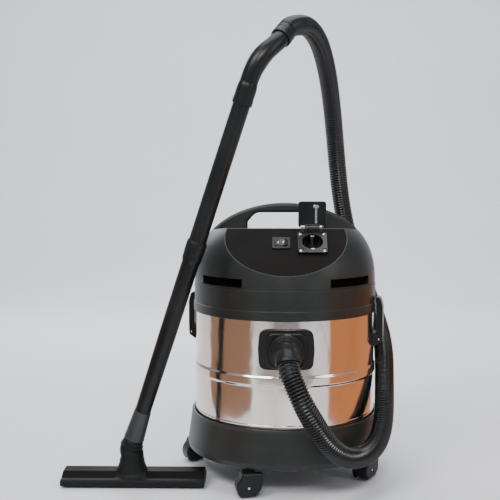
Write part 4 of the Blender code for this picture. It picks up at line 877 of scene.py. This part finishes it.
def casters():
    """Hooded swivel casters with rounded hoods, grooved wheels and domed axle ends."""
    half = 0.01
    inner, outer = half + 0.001, half + 0.0065
    hood = WHEEL_RADIUS + 0.0035
    top = base_low.z - 0.0022

    def arc(radius, degrees):
        """Points on a circle round the wheel's axle."""
        return [(CASTER_TRAIL + radius * cos(radians(a)), WHEEL_RADIUS + radius * sin(radians(a))) for a in degrees]

    side = [(CASTER_TRAIL - hood - 0.0035, top), (CASTER_TRAIL + 0.5 * hood, top)] + arc(hood, range(48, -52, -8))
    side += [(CASTER_TRAIL - 0.55 * hood, 0.004), (CASTER_TRAIL - hood, WHEEL_RADIUS - 0.004)]
    clear = WHEEL_RADIUS + 0.0013
    pocket = arc(clear, range(0, 181, 10)) + [(CASTER_TRAIL - clear, -0.01), (CASTER_TRAIL + clear, -0.01)]
    wheel_side = [
        (0.0029, -half), (0.0058, -half, 0.0005), (0.0066, -half + 0.0022, 0.0008),
        (0.0118, -half + 0.0022, 0.0008), (0.0128, -half + 0.0004, 0.0006), (0.0165, -half + 0.0004, 0.001),
        (WHEEL_RADIUS, -half + 0.003, 0.002), (WHEEL_RADIUS, -0.0012, 0.0004),
        (WHEEL_RADIUS - 0.0008, -0.0006, 0.0003)]
    wheel_outline = wheel_side + [(r, -z, *more) for r, z, *more in wheel_side[::-1]]
    for number in range(4):
        name = f"caster_{number + 1}"
        stem = Vector((*stem_place(number), 0.0))
        hub = joint_place(f"{name}_roll")
        trail = hub - stem
        place = Matrix.Translation(stem) @ spin(atan2(trail.y, trail.x))
        spot = place @ shift(CASTER_TRAIL, 0.0, WHEEL_RADIUS) @ X_TURN
        fork = solid(f"{name}_hood", prism(side, -outer, outer, "Y"))
        round_edges(fork, 0.0042, 4, 50.0)
        carve(fork, prism(pocket, -inner, inner, "Y"))
        weld(fork, disc(0.004, top - 0.003, top + 0.012, 28))
        weld(fork, disc(0.0085, top - 0.003, top + 0.0006, 36, edge=0.0005))
        carve(fork, disc(0.0028, -0.03, 0.03, 24), shift(CASTER_TRAIL, 0.0, WHEEL_RADIUS) @ X_TURN)
        round_edges(fork, 0.0004, 2, 60.0)
        finish_piece(fork, BLACK, f"{name}_fork_body", f"{name}_fork", smooth=40.0, place=place)
        wheel = solid(f"{name}_roller", turned(filleted(wheel_outline, 0.0, 3), 64), spot)
        finish_piece(wheel, TYRE, f"{name}_wheel_body", f"{name}_wheel")
        axle = solid(f"{name}_pin", disc(0.0025, -outer + 0.0006, outer - 0.0006, 28, edge=0.0008), spot)
        finish_piece(axle, BRIGHT, f"{name}_fork_body", f"{name}_axle")


def screw(name, place, radius, rise, body):
    """A pan-head screw with a cross recess, its face along +Z of its place."""
    dome = [(radius * cos(a), rise * sin(a)) for a in np.linspace(0.0, pi / 2, 9)[:-1]]
    head = solid(name, turned([(0.0, -0.001), (radius, -0.001)] + dome + [(0.0, rise)], 32))
    for turn in (0.6, 0.6 + pi / 2):
        slot = prism(rectangle(radius * 1.25, radius * 0.26), rise * 0.35, rise + 0.001)
        carve(head, slot, spin(turn))
    finish_piece(head, BRIGHT, body, place=place)


def inlet():
    """Curved inlet plate with bowed sides, a raised boss and a stepped collar."""
    skin = TANK_RADIUS + 2 * GAP + 0.002
    spot = shift(0.0, 0.0, INLET_Z)
    back = TANK_RADIUS - 0.03
    face = TANK_RADIUS + 0.015
    half_x, half_z = 0.05, 0.035

    def bowed(a, b, bow):
        """A rectangle whose left and right sides swell outwards."""
        corners = [
            (a, -b, 0.014), (a + bow, 0.0, 0.05), (a, b, 0.014), (-a, b, 0.014), (-a - bow, 0.0, 0.05),
            (-a, -b, 0.014)]
        return filleted(corners, steps=8)

    plate = solid("inlet_plate", prism(bowed(half_x - 0.003, half_z, 0.003), -face - 0.001, -back, "Y"), spot)
    carve(plate, disc(skin + 0.006, INLET_Z - 0.08, INLET_Z + 0.08, 180), operation="INTERSECT")
    round_edges(plate, 0.0022, 4, 50.0)
    boss = prism(bowed(0.034, 0.0315, 0.002), -face, -back, "Y")
    boss_solid = solid("boss", boss, spot)
    round_edges(boss_solid, 0.0035, 4, 50.0)
    joined = bmesh.new()
    joined.from_mesh(boss_solid.data)
    weld(plate, joined)
    bpy.data.objects.remove(boss_solid, do_unlink=True)
    collar = [
        (0.0, back), (COLLAR_RADIUS, back), (COLLAR_RADIUS, TANK_RADIUS + 0.03, 0.003),
        (0.0268, TANK_RADIUS + 0.0305, 0.0012), (0.026, TANK_RADIUS + 0.033, 0.0008),
        (0.026, TANK_RADIUS + 0.038, 0.0018), (0.0, TANK_RADIUS + 0.038)]
    weld(plate, turned(filleted(collar, 0.0, 4, closed=False), 72), spot @ X_TURN)
    carve(plate, disc(skin, INLET_Z - 0.08, INLET_Z + 0.08, 180))
    carve(plate, disc(INLET_BORE, 0.0, TANK_RADIUS + 0.05, 72), spot @ X_TURN)
    finish_piece(plate, BLACK, "root", "inlet_flange", smooth=32.0)


def latches():
    """Over-centre latches: ribbed levers on pins between the cheeks of their brackets."""
    half = LATCH_WIDTH / 2
    wide = half + GAP + 0.004
    nose, inner, outer = RIM_RADIUS + 0.0008, RIM_RADIUS + 0.0032, RIM_RADIUS + 0.0145
    lip = RIM_LOW + 0.0175 - LATCH_PIN_Z
    side_view = [
        (inner, -0.0025, 0.002), (inner + 0.0048, -0.0058, 0.003), (outer - 0.001, -0.005, 0.002),
        (outer, 0.006, 0.006), (outer, lip - 0.008, 0.02), (outer - 0.004, lip + 0.007, 0.008),
        (nose + 0.0045, lip + 0.0105, 0.003), (nose, lip + 0.0095, 0.0015), (nose, lip + 0.002),
        (inner, lip - 0.002)]
    seat, tip = TANK_RADIUS + GAP, LATCH_PIN_R + 0.0045
    cheek = [
        (seat - 0.004, -0.012, 0.0), (seat + 0.004, -0.012, 0.002), (tip, -0.004, 0.005), (tip, 0.004, 0.004),
        (seat + 0.005, 0.011, 0.006), (seat - 0.004, 0.014, 0.0)]
    for name, turn in (("right", LATCH_TURN), ("left", LATCH_TURN + pi)):
        place = spin(turn) @ shift(0.0, 0.0, LATCH_PIN_Z)
        lever = solid(f"latch_{name}", prism(filleted(side_view, steps=5), -half, half, "Y"))
        round_edges(lever, 0.0013, 3, 50.0)
        for number in range(5):
            groove = disc(0.0008, -half + 0.004, half - 0.004, 16)
            carve(lever, groove, shift(outer - 0.0001, 0.0, 0.01 + 0.0042 * number) @ X_TURN)
        carve(lever, disc(LATCH_BORE, -0.04, 0.04, 24), shift(LATCH_PIN_R, 0.0) @ X_TURN)
        finish_piece(lever, BLACK, f"latch_{name}", f"latch_lever_{name}", place=place)
        bracket = solid(f"latch_mount_{name}", prism(filleted(cheek, steps=4), -wide, wide, "Y"))
        round_edges(bracket, 0.001, 2, 50.0)
        clear = rectangle(0.03, 0.06, (RIM_RADIUS + 0.0165, 0.0))
        carve(bracket, prism(clear, -half - GAP, half + GAP, "Y"))
        carve(bracket, disc(seat, -0.05, 0.05, 180))
        carve(bracket, disc(LATCH_BORE, -0.04, 0.04, 24), shift(LATCH_PIN_R, 0.0) @ X_TURN)
        finish_piece(bracket, BLACK, "root", f"latch_bracket_{name}", place=place)
        pin = solid(f"latch_axle_{name}", disc(0.0018, -wide + 0.0004, wide - 0.0004, 24, edge=0.0005),
                    place @ shift(LATCH_PIN_R, 0.0) @ X_TURN)
        finish_piece(pin, BRIGHT, "root", f"latch_pin_{name}")


# ---- head
def dome_radius(height):
    """Outer radius of the dome at a height above its seam."""
    share = min(max(height / DOME_HEIGHT, 0.0), 1.0)
    return DOME_RADIUS * sqrt(1.0 - share ** DOME_POWER)


def dome_height(radius):
    """Height of the dome curve above the seam at a radius."""
    return DOME_HEIGHT * (1.0 - (radius / DOME_RADIUS) ** 2) ** (1.0 / DOME_POWER)


def panel_outline(inset, steps=40):
    """Outline of the slanted panel in its own plane: X across, Y up the slope from the ridge."""
    points = []
    ridge_radius = dome_radius(RIDGE_HEIGHT) - inset
    reach = acos((-RIDGE_Y + inset * cos(PANEL_TILT)) / ridge_radius)
    for step in range(-steps, steps + 1):
        angle = reach * step / steps
        radius = DOME_RADIUS
        for _ in range(40):
            y = -radius * cos(angle)
            radius = dome_radius(RIDGE_HEIGHT + (y - RIDGE_Y) * tan(PANEL_TILT)) - inset
        points.append((radius * sin(angle), (y - RIDGE_Y) / cos(PANEL_TILT)))
    return points


def head_shells():
    """Motor deck with band and lip, and the domed cover with its slanted front, flat back and vent slots."""
    low = RIM_LOW
    deck_bottom, deck_top = low + 0.012, low + 0.0155
    lip = low + 0.0175
    profile = [
        (TANK_RADIUS + 0.0007, low, 0.0005), (RIM_RADIUS, low, 0.0016), (RIM_RADIUS, lip - 0.001),
        (BAND_RADIUS + 0.0001, lip, 0.0006), (BAND_RADIUS, lip + 0.0012, 0.0006), (BAND_RADIUS, SEAM, 0.0012),
        (BAND_RADIUS - 0.003, SEAM, 0.0005), (BAND_RADIUS - 0.003, deck_top, 0.002), (0.041, deck_top),
        (0.041, deck_bottom), (TANK_RADIUS + 0.0007, deck_bottom)]
    deck = solid("head_band", turned(filleted(profile, steps=4), 180))
    finish_piece(deck, SATIN, "head", "motor_deck", smooth=30.0)

    cover = solid("head_dome", dome_solid(0.0, SEAM + GAP, ((TOP_TILT, 0.0),)))
    round_edges(cover, 0.006, 6, 22.0)
    carve(cover, prism(rectangle(0.6, 0.6), 0.0, 0.3), PANEL_FRAME)
    round_edges(cover, 0.0009, 3, 24.0)
    carve(cover, dome_solid(0.003, SEAM - 0.005, ((-PANEL_TILT, 0.0052), (TOP_TILT, 0.003))))
    pocket = prism(panel_outline(PANEL_MARGIN - GAP), -PANEL_THICKNESS - GAP, 0.01)
    carve(cover, pocket, PANEL_FRAME)
    panel_holes(cover)
    vent_start, vent_sweep, vent_steps = 27, 35, 24
    for side in (-1, 1):
        angles = [radians(vent_start + vent_sweep * step / vent_steps) for step in range(vent_steps + 1)]
        rims = ((DOME_RADIUS + 0.01, angles), (DOME_RADIUS - 0.02, angles[::-1]))
        outline = [(side * r * sin(a), -r * cos(a)) for r, turn in rims for a in turn]
        carve(cover, prism(outline, SEAM + 0.003, SEAM + 0.0185))
    turn = spin(LEAD_TURN) @ Y_TURN
    carve(cover, disc(0.0068, 0.13, 0.2, 40), shift(0.0, 0.0, SEAM + LEAD_RISE) @ turn)
    round_edges(cover, 0.0003, 2, 55.0)
    finish_piece(cover, SATIN, "head", "head_cover", smooth=30.0)

    plate = solid("front_panel", prism(panel_outline(PANEL_MARGIN), -PANEL_THICKNESS, 0.0), PANEL_FRAME)
    round_edges(plate, 0.0003, 2, 50.0)
    panel_holes(plate)
    finish_piece(plate, PANEL, "head", "control_panel")

    for name, side in (("vent_louvre_left", -1), ("vent_louvre_right", 1)):
        grille = bmesh.new()
        for number in range(VENT_FINS):
            angle = side * radians(28.5 + 32.0 * number / (VENT_FINS - 1))
            fin = prism(rectangle(0.0012, 0.008, radius=0.0004, steps=2), SEAM + 0.0012, SEAM + 0.0205)
            spot = spin(angle) @ shift(0.0, -DOME_RADIUS + 0.01)
            join(grille, fin, spot)
        finish_piece(solid(name, grille), PANEL, "head")


def dome_solid(inset, foot, cuts):
    """The dome as a solid, cut by planes through the ridge, each given as its tilt and its depth."""
    levels = [DOME_SHARE * DOME_HEIGHT * sin(pi / 2 * step / 30) for step in range(31)]
    outer = [(dome_radius(z) - inset, SEAM + GAP + z) for z in levels]
    outer[0] = (outer[0][0], foot)
    skin = turned([(0.0, foot)] + outer + [(0.0, SEAM + DOME_SHARE * DOME_HEIGHT)], 180)
    ridge = Vector((0.0, RIDGE_Y, RIDGE_Z))
    for tilt, depth in cuts:
        normal = Vector((0.0, sin(tilt), cos(tilt)))
        slice_off(skin, ridge - normal * depth, normal)
    return skin


def panel_holes(piece):
    """Openings for the switch and the socket."""
    window = prism(rectangle(0.0278, 0.0238), -0.03, 0.01)
    carve(piece, window, PANEL_FRAME @ Matrix.Translation(SWITCH_PLACE))
    carve(piece, disc(WELL_RADIUS + 0.0026, -0.03, 0.01, 64), PANEL_FRAME @ Matrix.Translation(SOCKET_PLACE))


def carry_handle():
    """Arched handle that carries on the dome's curve over the hand gap."""
    reach, depth = 0.1375, 0.028
    steps = 48
    outer = []
    for step in range(steps + 1):
        x = reach * (1 - 2 * step / steps)
        outer.append((x, SEAM + dome_height(abs(x))))
    foot = RIDGE_Z - 0.03
    gap_top = SEAM + 0.133
    inner = [
        (-0.071, foot, 0.0), (-0.0715, gap_top - 0.02, 0.01), (-0.056, gap_top - 0.002, 0.022),
        (0.056, gap_top - 0.002, 0.022), (0.0715, gap_top - 0.02, 0.01), (0.071, foot, 0.0)]
    inner = filleted(inner, 0.0, 8, closed=False)
    outline = outer + [(-reach, foot)] + inner + [(reach, foot)]
    handle = solid("top_handle", prism(outline, -depth / 2, depth / 2, "Y"))
    round_edges(handle, 0.0052, 5, 50.0)
    below = prism(rectangle(0.5, 0.5), -0.1, GAP)
    carve(handle, below, shift(0.0, RIDGE_Y, RIDGE_Z) @ spin(-TOP_TILT, "X"))
    finish_piece(handle, SATIN, "head", "carry_handle", smooth=32.0)


def power_switch():
    """Bezel, rocker and its printed marks."""
    place = PANEL_FRAME @ Matrix.Translation(SWITCH_PLACE)
    bezel = solid("switch_bezel", prism(rectangle(0.033, 0.029, radius=0.0025), GAP, 0.0022))
    round_edges(bezel, 0.0007, 3, 50.0)
    weld(bezel, prism(rectangle(0.027, 0.023), -0.014, 0.0011))
    carve(bezel, prism(rectangle(0.0228, 0.0172, radius=0.0008), -0.05, 0.05))
    finish_piece(bezel, BLACK, "head", "switch_frame", place=place)
    wide, deep = 0.0101, 0.0082

    def height(x):
        """The rocker's dished face."""
        return 0.003 + 0.0018 * (x / wide) ** 2

    top = [(-wide, 0.0048)] + [(x, height(x)) for x in np.linspace(-0.8 * wide, 0.8 * wide, 13)]
    outline = [(wide, -0.006), (-wide, -0.006)] + top + [(wide, 0.0048)]
    tilt = place @ spin(-radians(6), "Y")
    rocker = solid("switch_rocker", prism(outline, -deep, deep, "Y"))
    round_edges(rocker, 0.0005, 2, 40.0)
    finish_piece(rocker, GLOSS, "power_rocker", "rocker_switch", place=tilt)

    mark_x = 0.0052
    low = height(mark_x) - 0.0003
    bar = prism(rectangle(0.001, 0.0064, (-mark_x, 0.0), 0.0003, 2), low, height(mark_x) + 0.00012)
    join(bar, disc(0.0026, low, height(mark_x) + 0.0002, 40, bore=0.0018), shift(mark_x, 0.0))
    finish_piece(solid("switch_marks", bar, tilt), MARK, "power_rocker")


def power_socket():
    """Round power socket with its contacts, corner screws and the open lid with its bright leaf."""
    place = PANEL_FRAME @ Matrix.Translation(SOCKET_PLACE)
    flange = solid("socket_frame", prism(rectangle(SOCKET_SIZE, SOCKET_SIZE, radius=0.005), GAP, SOCKET_RISE))
    round_edges(flange, 0.0011, 3, 50.0)
    weld(flange, disc(0.0235, SOCKET_RISE - 0.001, SOCKET_RISE + 0.0003, 72))
    weld(flange, disc(WELL_RADIUS + 0.0022, -0.017, SOCKET_RISE / 2, 64))
    hinge = HINGE_PLACE - SOCKET_PLACE
    lug_half = 0.0144
    for side in (-1, 1):
        edge = sorted((side * lug_half, side * (lug_half + 0.006)))
        base = -hinge.z + SOCKET_RISE
        outline = [(-0.0062, base - 0.002), (0.003, -hinge.z + 2 * GAP)]
        outline += [(LID_KNUCKLE * cos(a), LID_KNUCKLE * sin(a)) for a in np.linspace(0.0, pi, 13)]
        weld(flange, prism(outline, *edge, "X"), Matrix.Translation(hinge))
    carve(flange, disc(WELL_RADIUS, -0.015, 0.02, 64))
    carve(flange, disc(LID_BORE, -0.04, 0.04, 24), Matrix.Translation(hinge) @ Y_TURN)
    for side, up in ((-1, -1), (-1, 1), (1, -1), (1, 1)):
        pit = disc(0.0042, SOCKET_RISE - 0.002, SOCKET_RISE + 0.002, 32)
        carve(flange, pit, shift(side * SOCKET_SCREW, up * SOCKET_SCREW))
    for side in (-1, 1):
        carve(flange, disc(0.0026, -0.03, 0.0, 24), shift(side * SOCKET_PIN, 0.0))
    finish_piece(flange, GLOSS, "head", "socket_body", place=place)

    contacts = bmesh.new()
    for side in (-1, 1):
        clip = prism(
            filleted([(-0.003, -0.0016), (0.003, -0.0016), (0.003, 0.0016), (-0.003, 0.0016)], 0.0006, 2),
            -0.0145, 0.0028)
        join(contacts, clip, shift(0.0, side * (WELL_RADIUS - 0.002), 0.0))
        collar = disc(0.0034, -0.0149, -0.014, 28, bore=0.0025)
        join(contacts, collar, shift(side * SOCKET_PIN, 0.0))
    finish_piece(solid("socket_contacts", contacts, place), BRIGHT, "head")
    for number in range(4):
        x = SOCKET_SCREW * (1 if number % 2 else -1)
        y = SOCKET_SCREW * (1 if number < 2 else -1)
        screw(f"socket_screw_{number + 1}", place @ shift(x, y, SOCKET_RISE - 0.0018), 0.0036, 0.0018, "head")

    low = SOCKET_RISE - hinge.z + 0.0005
    near = -0.0024
    middle = near - 0.024
    lid = solid("socket_cap", prism(rectangle(0.051, 0.048, (0.0, middle), 0.006, 6), low, low + 0.005))
    round_edges(lid, 0.0012, 3, 50.0)
    carve(lid, prism(rectangle(0.044, 0.038, (0.0, middle), 0.004, 4), low - 0.01, low + 0.0025))
    notch_half = lug_half + 0.0064
    notch = [(-0.0062, -0.01), (0.01, -0.01), (0.01, 0.01), (-0.0062, 0.01)]
    carve(lid, prism(notch, -notch_half, notch_half, "X"))
    arm = [(-0.009, low + 0.0025), (0.0, -0.0028)]
    arm += [(LID_KNUCKLE * cos(a), LID_KNUCKLE * sin(a)) for a in np.linspace(-pi / 4, pi / 2, 9)]
    arm += [(-0.009, low + 0.005)]
    weld(lid, prism(arm, -0.014, 0.014, "X"))
    carve(lid, disc(LID_BORE, -0.04, 0.04, 24), Y_TURN)
    finish_piece(lid, GLOSS, "outlet_lid", "socket_lid", place=LID_FRAME)
    top = low + 0.0025 - GAP
    strip = [
        (0.005, middle + 0.016), (0.005, middle - 0.012, 0.001), (0.002, middle - 0.012, 0.001),
        (0.002, middle - 0.017, 0.001), (0.012, middle - 0.017, 0.001), (0.012, middle - 0.012, 0.001),
        (0.009, middle - 0.012, 0.001), (0.009, middle + 0.016)]
    leaf = solid("lid_leaf", prism(filleted(strip, 0.0004, 3), top - 0.0009, top))
    round_edges(leaf, 0.00025, 2, 50.0)
    finish_piece(leaf, BRIGHT, "outlet_lid", "lid_spring", place=LID_FRAME)


def gland():
    """Ribbed strain-relief gland at the back of the head, without a lead."""
    turn = shift(0.0, 0.0, SEAM + LEAD_RISE) @ spin(LEAD_TURN) @ Y_TURN
    skin = dome_radius(LEAD_RISE)
    wide, bore = 0.0085, 0.0042
    profile = [(bore, skin - 0.009), (wide - 0.002, skin - 0.009), (wide - 0.002, skin + 0.0012, 0.0002),
               (wide, skin + 0.0012, 0.0004), (wide, skin + 0.0036, 0.0012)]
    for number in range(3):
        at = skin + 0.0046 + 0.0032 * number
        radius = wide - 0.002 - 0.001 * number
        profile += [(radius - 0.0012, at, 0.0003), (radius, at + 0.001, 0.0005), (radius, at + 0.002, 0.0005)]
    profile += [(bore + 0.0012, skin + 0.015, 0.0004), (bore, skin + 0.015)]
    finish_piece(solid("lead_gland", turned(filleted(profile, 0.0, 3), 48), turn), RUBBER, "head", "cord_gland")


def filter_parts():
    """Foam sleeve with soft uneven cells round the float cage."""
    low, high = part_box("filter_sleeve")
    radius = (high.x - low.x) / 2
    bore = radius - 0.0065
    levels = np.linspace(low.z + 0.002, high.z - 0.002, 24)
    outer = [(radius - 0.0006, float(z)) for z in levels]
    profile = [(bore, low.z), (radius - 0.0022, low.z)] + outer + [(radius - 0.0022, high.z), (bore, high.z)]

    def soft(turn, height):
        """Foam swells unevenly."""
        return 1.0 + 0.005 * sin(5 * turn + 60 * height) * sin(170 * height) - 0.004

    sleeve = solid("foam_sleeve", turned(profile, 120, soft))
    finish_piece(sleeve, FOAM, "head", "filter_sleeve")


def carried_nodes():
    """Give each CAD node that still shows the procedural material of its slot."""
    slots = {part["node"]: part["material_slot"] for part in frame["record"]["subparts"]}
    for name, node in frame["nodes"].items():
        if not node.hide_render:
            node.data.materials.clear()
            node.data.materials.append(CARRIED[slots[name]])


camera()
hose_cuffs()
hose()
studio()
wands()
floor_nozzle()
tank()
base_tray()
casters()
inlet()
latches()
head_shells()
carry_handle()
power_switch()
power_socket()
gland()
filter_parts()
carried_nodes()
